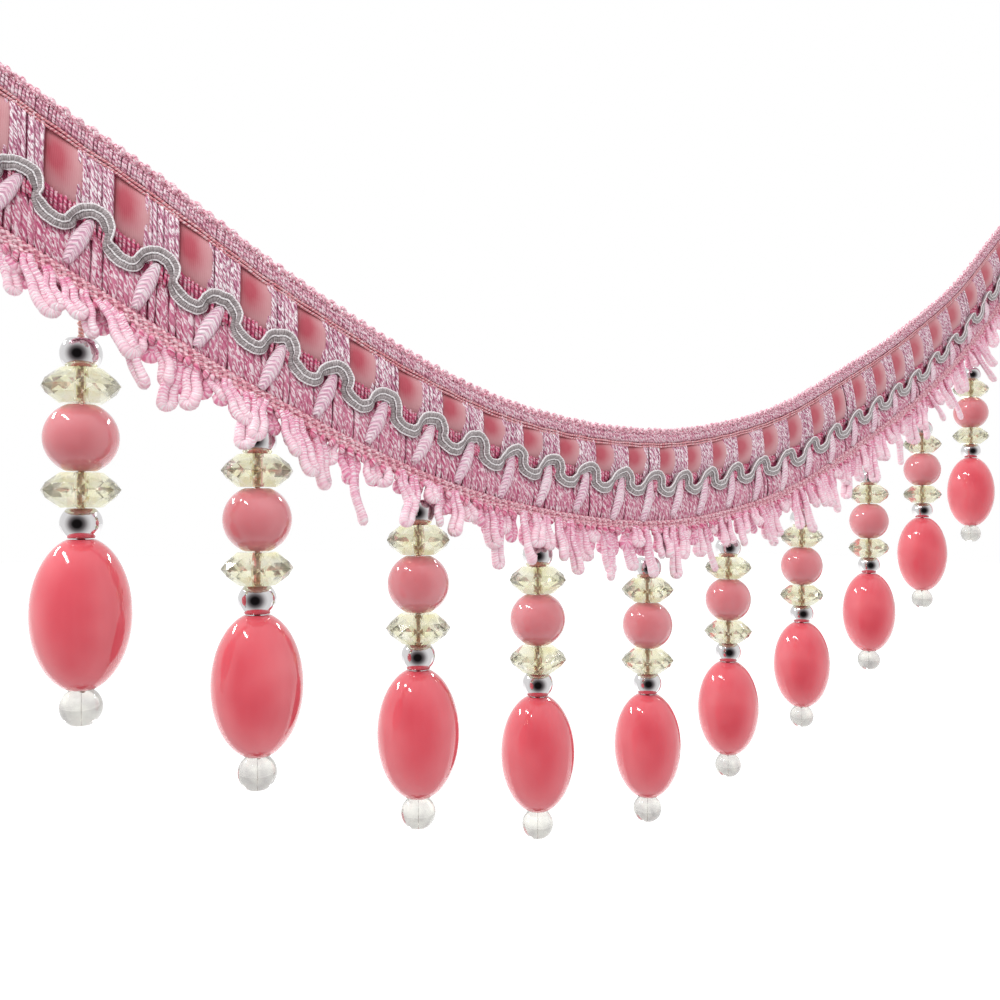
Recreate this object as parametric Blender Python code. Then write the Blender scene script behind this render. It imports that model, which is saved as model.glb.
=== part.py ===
"""A swagged length of beaded fringe trim: woven heading, ribbon, wound cords, loop fringe and bead drops.

Lengths in the tables are millimetres. The origin is on the top edge of the heading above the fifth drop,
+X runs along the swag, -Y faces the viewer and +Z is up.
"""

import math
from typing import NamedTuple

import bmesh
import bpy
from mathutils import Vector

MM = 0.001
GAP = 0.3


class Station(NamedTuple):
    """The heading where one bead drop hangs, with one more station past each cut end."""

    along: float
    depth: float
    row: float
    lean: float
    width: float
    cord: float
    repeat: float
    hang: float
    tie: float


# along, depth and row place the lowest row of stitches, and lean tips the weave back along the swag, in degrees.
# width is the heading's; cord is the height of the wound cords' middle line; repeat counts the woven repeats so far.
# hang is the bare thread over a drop's first bead, and tie is how far along from the station the thread is tied.
STATIONS = (
    Station(along=-193.5, depth=20.5, row=42.0, lean=-3, width=31.0, cord=12.6, repeat=-0.7, hang=9.1, tie=0.7),
    Station(along=-160.7, depth=10.8, row=21.6, lean=-3, width=30.0, cord=12.6, repeat=1.8, hang=9.1, tie=0.7),
    Station(along=-127.1, depth=-0.4, row=0.6, lean=-3, width=29.0, cord=12.6, repeat=4.6, hang=5.2, tie=1.3),
    Station(along=-86.8, depth=-4.2, row=-16.6, lean=-3, width=28.4, cord=13.0, repeat=7.8, hang=4.1, tie=2.2),
    Station(along=-46.0, depth=-1.9, row=-25.7, lean=-4, width=28.2, cord=13.4, repeat=10.8, hang=7.0, tie=3.0),
    Station(along=0.0, depth=0.0, row=-29.9, lean=-4, width=29.9, cord=14.0, repeat=14.0, hang=8.3, tie=3.8),
    Station(along=45.7, depth=4.6, row=-26.5, lean=0, width=31.2, cord=13.8, repeat=17.0, hang=7.2, tie=3.8),
    Station(along=93.1, depth=8.0, row=-16.2, lean=8, width=32.0, cord=12.8, repeat=19.7, hang=8.4, tie=4.5),
    Station(along=140.6, depth=8.5, row=2.5, lean=16, width=32.2, cord=11.8, repeat=22.7, hang=11.2, tie=4.6),
    Station(along=186.0, depth=9.6, row=22.6, lean=20, width=32.2, cord=11.2, repeat=25.5, hang=9.7, tie=4.5),
    Station(along=230.9, depth=9.9, row=49.2, lean=24, width=30.0, cord=10.8, repeat=28.1, hang=9.3, tie=5.2),
    Station(along=275.4, depth=9.0, row=83.4, lean=24, width=29.0, cord=10.8, repeat=31.0, hang=9.3, tie=5.2),
)
DROPS = len(STATIONS) - 2

# The woven repeat is one ribbon window and one bundle of yarn.
REPEATS = 31
WINDOW_SHARE = 0.52

# The heading, from the lowest stitch row up to the picot tips.
HEADING_FOOT = 2.9
HEADING_THICK = 1.5
WINDOW_ABOVE_CORD = 2.9
WINDOW_BELOW_TOP = 5.0
BAND_BELOW_TOP = 1.8
LOWER_SWELL = 0.45
BUNDLE_SWELL = 1.2
BAND_SWELL = 0.3

# The ribbon runs behind the bundles and puffs forward in each window.
RIBBON_THICK = 1.0
RIBBON_LAP = 1.1
RIBBON_PUFF = 1.25

# The pair of wound cords, laid as one snaking body on the front.
CORD_SWING = 2.3
CORD_SLANT = 1.4
CORD_LAG = 0.3
CORD_HALF_WIDTH = 1.7
CORD_THICK = 1.5
CORD_BASE = 0.75
CORD_STEPS = 5

# The loop fringe hangs from a narrow strip under the heading.
STRIP_TALL = 2.6
STRIP_BACK = -1.5
STRIP_FRONT = 0.6
LOOPS_PER_DROP = 10
ROOT_SHARE = 0.45
LOOP_HALF_WIDTH = 1.4
LOOP_HALF_THICK = 0.6
LOOP_BELLY = 0.66
TIP_SHARE = 0.55
LOOP_PITCH_MIN = 3.3
LOOP_LIFT = 0.5
LOOP_LIFT_AT_DROP = 3.2
DROP_REACH = 0.27
DROP_CORE_REACH = 0.14
FRINGE_SECTIONS = ((0.4, 2.5), (2.5, 4.5), (4.5, 6.5), (6.5, 8.5), (8.5, 11.0))

# Each row is the loops from one drop to the next: their lengths, and how far they lean along the swag in degrees.
FRINGE = (
    ((5, 5, 5, 5, 4.5, 9.5, 5, 10.5, 7.5, 6.5), (5, 5, 5, 8, 10, 16, 12, 22, 16, 6)),
    ((8, 10, 14, 5, 8, 11.5, 9.5, 5.5, 8.5, 14.5), (12, 20, 14, 14, 16, -8, 6, 16, 20, -10)),
    ((8, 8.5, 17, 12, 5, 16, 5.5, 4.5, 9.5, 13), (-4, 4, 16, 10, 0, 8, 12, 0, 8, -4)),
    ((4.5, 8.5, 15, 4.5, 5, 9.5, 14.5, 5, 14.5, 8), (6, 4, 4, 18, 6, 16, 8, -6, -4, 0)),
    ((7.5, 9.5, 15.5, 8.5, 3, 12.5, 14, 11.5, 3.5, 12.5), (6, 6, 5, 12, 0, 20, 3, 4, 0, 4)),
    ((7.5, 8, 15, 8.5, 3, 9, 14.5, 3, 7.5, 8.5), (6, 10, -5, 3, 0, 12, 26, 24, 6, 6)),
    ((9, 6, 4, 14.5, 11, 11.5, 4, 3, 12, 14.5), (10, 0, 12, 30, 18, 24, 30, 24, 0, 11)),
    ((7, 9.5, 10, 18, 3, 8.5, 15.5, 10.5, 9, 15), (18, 18, 18, 10, 0, 12, 4, 10, 6, 4)),
    ((8, 10.5, 5, 8, 17, 6, 11, 14, 9, 17), (6, 10, 12, 10, 10, 18, 27, 10, 12, 0)),
    ((9, 5, 9, 15.5, 5, 9, 9, 13, 5, 13.5), (40, 25, 44, 36, 25, 42, 25, 22, 12, 46)),
    ((9.5, 8, 8, 9, 6, 8, 9, 6, 8, 5), (44, 25, 18, 24, 12, 20, 25, 12, 20, 10)),
)

# One drop, top to bottom: each bead's height and radius along a thin thread.
THREAD_RADIUS = 0.8
BORE_RADIUS = THREAD_RADIUS + GAP
THREAD_TOP = 1.5
DROP_BEHIND = -2.6
SILVER_TALL = 6.0
SILVER_RADIUS = 4.1
RONDELLE_TALL = 7.1
RONDELLE_RADIUS = 7.75
RONDELLE_TABLE = 4.6
BALL_TALL = 13.8
BALL_RADIUS = 7.5
OVAL_TALL = 31.0
OVAL_RADIUS = 10.0
STOP_TALL = 7.2
STOP_RADIUS = 4.2
BEAD_SIDES = 10
SMALL_BEAD_SIDES = 8
SMOOTH_ANGLE = math.radians(50)

TOP_RONDELLE_Z = -(SILVER_TALL + GAP)
BALL_Z = TOP_RONDELLE_Z - RONDELLE_TALL - GAP
LOW_RONDELLE_Z = BALL_Z - BALL_TALL - GAP
LOW_SILVER_Z = LOW_RONDELLE_Z - RONDELLE_TALL - GAP
OVAL_Z = LOW_SILVER_Z - SILVER_TALL - GAP
STOP_Z = OVAL_Z - OVAL_TALL - GAP


def station(name: str, drop: float) -> float:
    """A station value at any place along the swag, on a smooth curve through the table."""
    values = [getattr(row, name) for row in STATIONS]
    last = len(values) - 1
    index = min(max(math.floor(drop), 0), last - 1)
    share = drop - index
    here, there = values[index], values[index + 1]
    before = values[index - 1] if index > 0 else 2 * here - there
    after = values[index + 2] if index + 2 <= last else 2 * there - here
    linear = there - before
    square = 2 * before - 5 * here + 4 * there - after
    cube = 3 * here - before - 3 * there + after
    return 0.5 * (2 * here + linear * share + square * share**2 + cube * share**3)


def row_point(drop: float) -> Vector:
    """The lowest stitch row at one place along the swag, in millimetres."""
    return Vector((station("along", drop), station("depth", drop), station("row", drop)))


def heading_axes(drop: float) -> tuple[Vector, Vector, Vector, float]:
    """The level direction along the swag, the weave's upward direction, the front's, and the weave's stretch."""
    tangent = (row_point(drop + 0.01) - row_point(drop - 0.01)).normalized()
    level = Vector((tangent.x, tangent.y, 0)).normalized()
    lean = math.radians(station("lean", drop))
    upward = level * -math.sin(lean) + Vector((0, 0, math.cos(lean)))
    front = Vector((level.y, -level.x, 0))
    return level, upward, front, 1 / tangent.cross(upward).length


def heading_point(drop: float, height: float, out: float) -> Vector:
    """A point of the heading, at a height above the stitch row and a distance in front of the cloth."""
    _, upward, front, stretch = heading_axes(drop)
    return (row_point(drop) + upward * height * stretch + front * out) * MM


def bundle_drop(repeat: float) -> float:
    """The place along the swag of the middle of a bundle of yarn, found by halving the range it lies in."""
    low, high = -1.0, len(STATIONS)
    for _ in range(30):
        middle = 0.5 * (low + high)
        if station("repeat", middle) < repeat:
            low = middle
        else:
            high = middle
    return low


def make_material(name: str, color: tuple[float, float, float], roughness: float, metallic: float = 0.0):
    """A plain Principled material."""
    material = bpy.data.materials.new(name)
    material.use_nodes = True
    shader = material.node_tree.nodes["Principled BSDF"]
    shader.inputs["Base Color"].default_value = (*color, 1.0)
    shader.inputs["Roughness"].default_value = roughness
    shader.inputs["Metallic"].default_value = metallic
    return material


def make_mesh(name: str, points: list, faces: list) -> bpy.types.Mesh:
    """A mesh with all its faces turned outward."""
    mesh = bpy.data.meshes.new(name)
    mesh.from_pydata(points, [], faces)
    shape = bmesh.new()
    shape.from_mesh(mesh)
    bmesh.ops.recalc_face_normals(shape, faces=shape.faces)
    shape.to_mesh(mesh)
    shape.free()
    return mesh


def add_object(name: str, mesh: bpy.types.Mesh, material, location=(0, 0, 0)) -> bpy.types.Object:
    """An object of its own for one sub-part."""
    if not mesh.materials:
        mesh.materials.append(material)
    mesh.shade_smooth()
    mesh.set_sharp_from_angle(angle=SMOOTH_ANGLE)
    item = bpy.data.objects.new(name, mesh)
    item.location = location
    bpy.context.scene.collection.objects.link(item)
    return item


def lofted_mesh(name: str, rings: list[list[Vector]]) -> bpy.types.Mesh:
    """A closed body through rings of points, with flat ends."""
    size = len(rings[0])
    points = [point for ring in rings for point in ring]
    faces = []
    for row in range(len(rings) - 1):
        for side in range(size):
            near = row * size
            beside = (side + 1) % size
            faces.append((near + side, near + beside, near + size + beside, near + size + side))
    faces.append(tuple(range(size)))
    faces.append(tuple(len(points) - size + side for side in range(size)))
    return make_mesh(name, points, faces)


def heading_heights(drop: float) -> list[tuple[float, float, float]]:
    """Rows across the heading: height above the stitches, and how far a bundle and a window's edge swell."""
    sill = station("cord", drop) + WINDOW_ABOVE_CORD
    width = station("width", drop)
    lintel = width - WINDOW_BELOW_TOP
    return [
        (HEADING_FOOT, 0.0, 0.0),
        (0.5 * (HEADING_FOOT + sill) - 1.5, LOWER_SWELL, 0.0),
        (sill, 0.0, 0.0),
        (0.5 * (sill + lintel), BUNDLE_SWELL, 0.5 * BUNDLE_SWELL),
        (lintel, BAND_SWELL, BAND_SWELL),
        (width - BAND_BELOW_TOP, BAND_SWELL, BAND_SWELL),
        (width, 0.0, 0.0),
    ]


SILL_ROW = 2
LINTEL_ROW = 4


def heading_columns() -> list[tuple[float, bool, bool]]:
    """Places along the heading, whether each is mid-bundle, and whether a window opens after it."""
    columns = [(bundle_drop(0), True, False)]
    for repeat in range(REPEATS):
        half = 0.5 * WINDOW_SHARE
        columns.append((bundle_drop(repeat + 0.5 - half), False, True))
        columns.append((bundle_drop(repeat + 0.5 + half), False, False))
        columns.append((bundle_drop(repeat + 1), True, False))
    return columns


def heading_mesh() -> bpy.types.Mesh:
    """The woven heading: one ladder-like sheet, its windows cut through between bundles of yarn."""
    columns = heading_columns()
    rows = len(heading_heights(1))
    points = []
    for drop, mid_bundle, _ in columns:
        for height, at_bundle, at_edge in heading_heights(drop):
            swell = at_bundle if mid_bundle else at_edge
            points.append(heading_point(drop, height, swell))
            points.append(heading_point(drop, height, -HEADING_THICK))

    def corner(column: int, row: int, back: int) -> int:
        return 2 * (column * rows + row) + back

    def is_cloth(column: int, row: int) -> bool:
        if not (0 <= column < len(columns) - 1 and 0 <= row < rows - 1):
            return False
        return not (columns[column][2] and SILL_ROW <= row < LINTEL_ROW)

    faces = []
    for column in range(len(columns) - 1):
        for row in range(rows - 1):
            if not is_cloth(column, row):
                continue
            square = ((column, row), (column + 1, row), (column + 1, row + 1), (column, row + 1))
            faces.append([corner(*place, 0) for place in square])
            faces.append([corner(*place, 1) for place in reversed(square)])
            beyond = ((column, row - 1), (column + 1, row), (column, row + 1), (column - 1, row))
            for side, neighbour in enumerate(beyond):
                if not is_cloth(*neighbour):
                    start, end = square[side], square[(side + 1) % 4]
                    faces.append([corner(*end, 0), corner(*start, 0), corner(*start, 1), corner(*end, 1)])
    return make_mesh("heading", points, faces)


def ribbon_mesh() -> bpy.types.Mesh:
    """The satin ribbon, flat behind each bundle and puffed out in each window."""
    front = -HEADING_THICK - GAP
    places = [(bundle_drop(0), 0.0)]
    for repeat in range(REPEATS):
        half = 0.5 * WINDOW_SHARE
        places.append((bundle_drop(repeat + 0.5 - half), 0.0))
        places.append((bundle_drop(repeat + 0.5), 1.0))
        places.append((bundle_drop(repeat + 0.5 + half), 0.0))
    places.append((bundle_drop(REPEATS), 0.0))
    rings = []
    for drop, puff in places:
        low = station("cord", drop) + WINDOW_ABOVE_CORD - RIBBON_LAP
        high = station("width", drop) - WINDOW_BELOW_TOP + RIBBON_LAP
        section = (
            (low, front),
            (0.5 * (low + high), front + RIBBON_PUFF * puff),
            (high, front),
            (high, front - RIBBON_THICK),
            (low, front - RIBBON_THICK),
        )
        rings.append([heading_point(drop, height, out) for height, out in section])
    return lofted_mesh("ribbon", rings)


def cord_mesh() -> bpy.types.Mesh:
    """The two wound cords, side by side along one snaking line, with a groove between them."""
    section = (
        (-CORD_HALF_WIDTH, 0.0),
        (-0.5 * CORD_HALF_WIDTH, CORD_THICK),
        (0.0, 0.55 * CORD_THICK),
        (0.5 * CORD_HALF_WIDTH, CORD_THICK),
        (CORD_HALF_WIDTH, 0.0),
    )
    middle = 0.5 * (DROPS + 1)
    steps = REPEATS * CORD_STEPS
    line = []
    for step in range(steps + 1):
        drop = bundle_drop(step / CORD_STEPS + CORD_LAG * (step / steps) ** 2)
        turn = math.cos(math.tau * step / CORD_STEPS)
        spacing = (row_point(drop + 0.5) - row_point(drop - 0.5)).length
        slant = CORD_SLANT * turn * (drop - middle) / middle / spacing
        line.append((drop + slant, station("cord", drop) + CORD_SWING * turn))
    rings = []
    for step, (drop, height) in enumerate(line):
        before = heading_point(*line[max(step - 1, 0)], 0)
        after = heading_point(*line[min(step + 1, steps)], 0)
        _, _, front, _ = heading_axes(drop)
        sideways = front.cross(after - before).normalized()
        centre = heading_point(drop, height, CORD_BASE)
        rings.append([centre + (sideways * -across + front * out) * MM for across, out in section])
    return lofted_mesh("wound_cords", rings)


def loop_list(start: float, end: float) -> list[tuple[float, float, float, float]]:
    """The loops of one stretch: place, length, sideways reach of the tip and lift off the strip's plane."""
    loops = []
    tip = -math.inf
    for number in range(len(FRINGE) * LOOPS_PER_DROP):
        row, slot = divmod(number, LOOPS_PER_DROP)
        drop = (number + 0.5) / LOOPS_PER_DROP
        if not start < drop < end:
            continue
        length, lean = FRINGE[row][0][slot], FRINGE[row][1][slot]
        nearest = min(max(round(drop), 1), DROPS)
        spacing = (row_point(nearest + 0.5) - row_point(nearest - 0.5)).length
        beside = abs(drop - nearest - station("tie", nearest) / spacing)
        lift = LOOP_LIFT
        if beside < DROP_REACH:
            lift = LOOP_LIFT_AT_DROP
            room = SILVER_TALL if beside < DROP_CORE_REACH else SILVER_TALL + 2.0
            length = min(length, station("hang", nearest) + room - GAP)
        root = (row_point(drop) - row_point(start)).length
        tip = max(root + length * math.tan(math.radians(lean)), tip + LOOP_PITCH_MIN)
        loops.append((drop, length, tip - root, lift))
    return loops


def fringe_mesh(name: str, start: float, end: float) -> bpy.types.Mesh:
    """One section of fringe: a narrow stitched strip with its loops drawn down out of its lower side."""
    loops = loop_list(start, end)
    half_root = 0.5 * ROOT_SHARE / LOOPS_PER_DROP
    seam = 0.5 * GAP / 45
    edges = [start + seam]
    for drop, _, _, _ in loops:
        edges += [drop - half_root, drop + half_root]
    edges.append(end - seam)
    section = ((0.0, STRIP_FRONT), (0.0, STRIP_BACK), (STRIP_TALL, STRIP_BACK), (STRIP_TALL, STRIP_FRONT))
    points = [heading_point(drop, height, out) for drop in edges for height, out in section]
    faces = [(0, 1, 2, 3), tuple(4 * (len(edges) - 1) + corner for corner in range(4))]
    for column in range(len(edges) - 1):
        near, far = 4 * column, 4 * column + 4
        for side in range(4):
            beside = (side + 1) % 4
            ring = (near + side, near + beside, far + beside, far + side)
            if side == 0 and column % 2 == 1:
                add_loop(points, faces, ring, loops[column // 2])
            else:
                faces.append(ring)
    return make_mesh(name, points, faces)


def add_loop(points: list, faces: list, root: tuple, loop: tuple) -> None:
    """Draws one loop down from a face of the strip, widest below its middle and rounded in at its tip."""
    drop, length, reach, lift = loop
    level, _, front, _ = heading_axes(drop)
    ring = root
    for share, size in ((LOOP_BELLY, 1.0), (1.0, TIP_SHARE)):
        fall = Vector((0, 0, -length * share))
        centre = row_point(drop) + fall + level * reach * share + front * (lift * (0.6 + 0.4 * share))
        half_wide = level * LOOP_HALF_WIDTH * size
        half_thick = front * LOOP_HALF_THICK * size
        first = len(points)
        for wide, thick in ((-1, 1), (-1, -1), (1, -1), (1, 1)):
            points.append((centre + half_wide * wide + half_thick * thick) * MM)
        below = tuple(range(first, first + 4))
        for side in range(4):
            beside = (side + 1) % 4
            faces.append((ring[side], ring[beside], below[beside], below[side]))
        ring = below
    faces.append(ring)


def turned_mesh(name: str, profile: list[tuple[float, float]], sides: int, bored: bool) -> bpy.types.Mesh:
    """A body turned about Z from points of radius and height; a bored one closes its profile on itself."""
    mesh = bpy.data.meshes.new(name)
    shape = bmesh.new()
    corners = [shape.verts.new((radius * MM, 0, height * MM)) for radius, height in profile]
    pairs = list(zip(corners, corners[1:]))
    if bored:
        pairs.append((corners[-1], corners[0]))
    outline = [shape.edges.new(pair) for pair in pairs]
    bmesh.ops.spin(shape, geom=corners + outline, axis=(0, 0, 1), cent=(0, 0, 0), angle=math.tau, steps=sides,
                   use_merge=True, use_duplicate=False)
    bmesh.ops.remove_doubles(shape, verts=shape.verts, dist=0.01 * MM)
    bmesh.ops.recalc_face_normals(shape, faces=shape.faces)
    shape.to_mesh(mesh)
    shape.free()
    return mesh


def oval_profile(radius: float, tall: float, parts: int, top: float = 0.0) -> list[tuple[float, float]]:
    """The outer side of an egg-shaped bead, from its upper bore rim down to its lower one."""
    half = 0.5 * tall
    rim = math.asin(BORE_RADIUS / radius)
    profile = []
    for part in range(parts + 1):
        turn = rim + (math.pi - 2 * rim) * part / parts
        height = half * math.cos(turn) / math.cos(rim)
        profile.append((radius * math.sin(turn), top - half + height))
    return profile


def rondelle_profile() -> list[tuple[float, float]]:
    """The outer side of a disc bead: flat tables sloping out to a sharp waist."""
    return [
        (BORE_RADIUS, 0.0),
        (RONDELLE_TABLE, 0.0),
        (RONDELLE_RADIUS, -0.5 * RONDELLE_TALL),
        (RONDELLE_TABLE, -RONDELLE_TALL),
        (BORE_RADIUS, -RONDELLE_TALL),
    ]


def string_profile(hang: float) -> list[tuple[float, float]]:
    """The thread from inside the strip's back down to the stop bead, with both silver beads on it."""

    def bead(top: float, tall: float, radius: float) -> list[tuple[float, float]]:
        shoulder = 0.22 * tall
        waist = (radius, top - shoulder), (radius, top - tall + shoulder)
        return [(THREAD_RADIUS, top), *waist, (THREAD_RADIUS, top - tall)]

    profile = [(0.0, hang + THREAD_TOP), (THREAD_RADIUS, hang + THREAD_TOP)]
    profile += bead(0.0, SILVER_TALL, SILVER_RADIUS)
    profile += bead(LOW_SILVER_Z, SILVER_TALL, SILVER_RADIUS)
    profile += bead(STOP_Z, STOP_TALL, STOP_RADIUS)
    profile.append((0.0, STOP_Z - STOP_TALL))
    return profile


def build_heading(pink, coral, grey, pale) -> None:
    """The cloth band: heading, ribbon, wound cords and the sections of loop fringe."""
    add_object("heading", heading_mesh(), pink)
    add_object("ribbon", ribbon_mesh(), coral)
    add_object("wound_cords", cord_mesh(), grey)
    for number, (start, end) in enumerate(FRINGE_SECTIONS, start=1):
        name = f"fringe_{number}"
        add_object(name, fringe_mesh(name, start, end), pale)


def build_drops(rose, glassy, chrome) -> None:
    """The bead drops, each hanging plumb behind the stitched strip."""
    rondelle = turned_mesh("rondelle", rondelle_profile(), SMALL_BEAD_SIDES, bored=True)
    ball = turned_mesh("ball", oval_profile(BALL_RADIUS, BALL_TALL, 6), BEAD_SIDES, bored=True)
    oval = turned_mesh("oval", oval_profile(OVAL_RADIUS, OVAL_TALL, 7), BEAD_SIDES, bored=True)
    for drop in range(1, DROPS + 1):
        hang, tie = STATIONS[drop].hang, STATIONS[drop].tie
        level, _, front, _ = heading_axes(drop)
        top = (row_point(drop) + level * tie + front * DROP_BEHIND - Vector((0, 0, hang))) * MM
        name = f"drop_{drop:02d}"
        string = turned_mesh(f"{name}_string", string_profile(hang), SMALL_BEAD_SIDES, bored=False)
        add_object(f"{name}_string", string, chrome, top)
        beads = (
            ("rondelle_top", rondelle, glassy, TOP_RONDELLE_Z),
            ("ball", ball, rose, BALL_Z),
            ("rondelle_low", rondelle, glassy, LOW_RONDELLE_Z),
            ("oval", oval, rose, OVAL_Z),
        )
        for label, mesh, material, height in beads:
            add_object(f"{name}_{label}", mesh, material, top + Vector((0, 0, height * MM)))


def main() -> None:
    """Clears the scene and builds the trim."""
    for item in list(bpy.data.objects):
        bpy.data.objects.remove(item, do_unlink=True)
    pink = make_material("mauve_pink_yarn", (0.50, 0.17, 0.27), 0.55)
    coral = make_material("coral_satin", (0.62, 0.14, 0.16), 0.35)
    grey = make_material("silver_grey_cord", (0.32, 0.28, 0.30), 0.45)
    pale = make_material("pale_pink_cord", (0.80, 0.36, 0.50), 0.55)
    rose = make_material("rose_bead", (0.78, 0.16, 0.22), 0.15)
    glassy = make_material("pale_yellow_bead", (0.80, 0.80, 0.45), 0.08)
    chrome = make_material("chrome_bead", (0.75, 0.75, 0.77), 0.12, metallic=1.0)
    build_heading(pink, coral, grey, pale)
    build_drops(rose, glassy, chrome)


main()
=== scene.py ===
"""Looks of a beaded fringe trim: woven heading, satin ribbon, wound cords, loop fringe and bead drops.

Lengths in the tables are millimetres in the part's own frame: +X along the swag, -Y the face side, +Z up.
"""

import logging
import math
from dataclasses import dataclass, field
from enum import Enum
from functools import partial
from typing import NamedTuple

import bpy
import numpy as np
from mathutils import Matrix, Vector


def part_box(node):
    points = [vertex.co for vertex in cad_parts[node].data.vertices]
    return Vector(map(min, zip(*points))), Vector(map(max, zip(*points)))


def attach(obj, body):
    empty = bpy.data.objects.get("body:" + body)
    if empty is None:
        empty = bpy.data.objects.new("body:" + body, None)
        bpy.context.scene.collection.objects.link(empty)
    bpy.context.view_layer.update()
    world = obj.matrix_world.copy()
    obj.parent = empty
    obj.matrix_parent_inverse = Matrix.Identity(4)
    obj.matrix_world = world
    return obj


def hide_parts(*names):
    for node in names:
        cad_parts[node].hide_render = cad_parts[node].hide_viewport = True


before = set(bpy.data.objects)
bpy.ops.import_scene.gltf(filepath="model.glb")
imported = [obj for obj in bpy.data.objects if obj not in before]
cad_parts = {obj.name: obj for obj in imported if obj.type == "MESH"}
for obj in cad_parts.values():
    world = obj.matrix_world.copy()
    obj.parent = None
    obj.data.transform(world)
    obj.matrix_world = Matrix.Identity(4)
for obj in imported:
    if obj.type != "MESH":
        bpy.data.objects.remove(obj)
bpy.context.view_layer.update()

MM = 0.001
SEED = 7
LOG = logging.getLogger("beaded_fringe")


class Station(NamedTuple):
    """The heading where one bead drop hangs, with one more station past each cut end."""

    along: float
    depth: float
    row: float
    lean: float
    width: float
    cord: float
    repeat: float
    hang: float
    tie: float


# Columns, in the order of Station: along, depth and row place the lowest row of stitches, and lean tips
# the weave back along the swag, in degrees. width is the heading's; cord is the height of the wound cords'
# middle line; repeat counts the woven repeats so far. hang is the bare thread over a drop's first bead, and
# tie is how far along from the station the thread is tied.
STATIONS = (
    Station(-193.5, 20.5, 42.0, -3, 31.0, 12.6, -0.7, 9.1, 0.7),
    Station(-160.7, 10.8, 21.6, -3, 30.0, 12.6, 1.8, 9.1, 0.7),
    Station(-127.1, -0.4, 0.6, -3, 29.0, 12.6, 4.6, 5.2, 1.3),
    Station(-86.8, -4.2, -16.6, -3, 28.4, 13.0, 7.8, 4.1, 2.2),
    Station(-46.0, -1.9, -25.7, -4, 28.2, 13.4, 10.8, 7.0, 3.0),
    Station(0.0, 0.0, -29.9, -4, 29.9, 14.0, 14.0, 8.3, 3.8),
    Station(45.7, 4.6, -26.5, 0, 31.2, 13.8, 17.0, 7.2, 3.8),
    Station(93.1, 8.0, -16.2, 8, 32.0, 12.8, 19.7, 8.4, 4.5),
    Station(140.6, 8.5, 2.5, 16, 32.2, 11.8, 22.7, 11.2, 4.6),
    Station(186.0, 9.6, 22.6, 20, 32.2, 11.2, 25.5, 9.7, 4.5),
    Station(230.9, 9.9, 49.2, 24, 30.0, 10.8, 28.1, 9.3, 5.2),
    Station(275.4, 9.0, 83.4, 24, 29.0, 10.8, 31.0, 9.3, 5.2),
)
DROPS = len(STATIONS) - 2
REPEATS = 31
FRINGE_START = 0.4
FRINGE_END = 11.0

# Each row is the loops from one drop to the next: their lengths, and how far they lean along the swag, in
# degrees.
FRINGE = (
    ((5, 5, 5, 5, 4.5, 9.5, 5, 10.5, 7.5, 6.5), (5, 5, 5, 8, 10, 16, 12, 22, 16, 6)),
    ((8, 10, 14, 5, 8, 11.5, 9.5, 5.5, 8.5, 14.5), (12, 20, 14, 14, 16, -8, 6, 16, 20, -10)),
    ((8, 8.5, 17, 12, 5, 16, 5.5, 4.5, 9.5, 13), (-4, 4, 16, 10, 0, 8, 12, 0, 8, -4)),
    ((4.5, 8.5, 15, 4.5, 5, 9.5, 14.5, 5, 14.5, 8), (6, 4, 4, 18, 6, 16, 8, -6, -4, 0)),
    ((7.5, 9.5, 15.5, 8.5, 3, 12.5, 14, 11.5, 3.5, 12.5), (6, 6, 5, 12, 0, 20, 3, 4, 0, 4)),
    ((7.5, 8, 15, 8.5, 3, 9, 14.5, 3, 7.5, 8.5), (6, 10, -5, 3, 0, 12, 26, 24, 6, 6)),
    ((9, 6, 4, 14.5, 11, 11.5, 4, 3, 12, 14.5), (10, 0, 12, 30, 18, 24, 30, 24, 0, 11)),
    ((7, 9.5, 10, 18, 3, 8.5, 15.5, 10.5, 9, 15), (18, 18, 18, 10, 0, 12, 4, 10, 6, 4)),
    ((8, 10.5, 5, 8, 17, 6, 11, 14, 9, 17), (6, 10, 12, 10, 10, 18, 27, 10, 12, 0)),
    ((9, 5, 9, 15.5, 5, 9, 9, 13, 5, 13.5), (40, 25, 44, 36, 25, 42, 25, 22, 12, 46)),
    ((9.5, 8, 8, 9, 6, 8, 9, 6, 8, 5), (44, 25, 18, 24, 12, 20, 25, 12, 20, 10)),
)
LOOPS_PER_DROP = 10


class Slot(Enum):
    """Names of the material slots."""

    YARN = "heading_yarn"
    RIBBON = "satin_ribbon"
    CORD = "grey_cord"
    FRINGE = "fringe_cord"
    ROSE = "rose_bead"
    PALE = "pale_bead"
    SILVER = "silver_bead"


class Stitch(Enum):
    """How the strands of a cord lie on its surface."""

    TWISTED = "twisted"
    CHAINETTE = "chainette"


def linear(hex_colour: str) -> tuple[float, float, float, float]:
    """Turns an sRGB hex colour to linear.

    Args:
        hex_colour: Six hex digits after a hash sign.

    Returns:
        Linear red, green, blue and an alpha of one.
    """
    parts = [int(hex_colour[i : i + 2], 16) / 255 for i in (1, 3, 5)]
    red, green, blue = (c / 12.92 if c <= 0.04045 else ((c + 0.055) / 1.055) ** 2.4 for c in parts)
    return red, green, blue, 1.0


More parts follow.
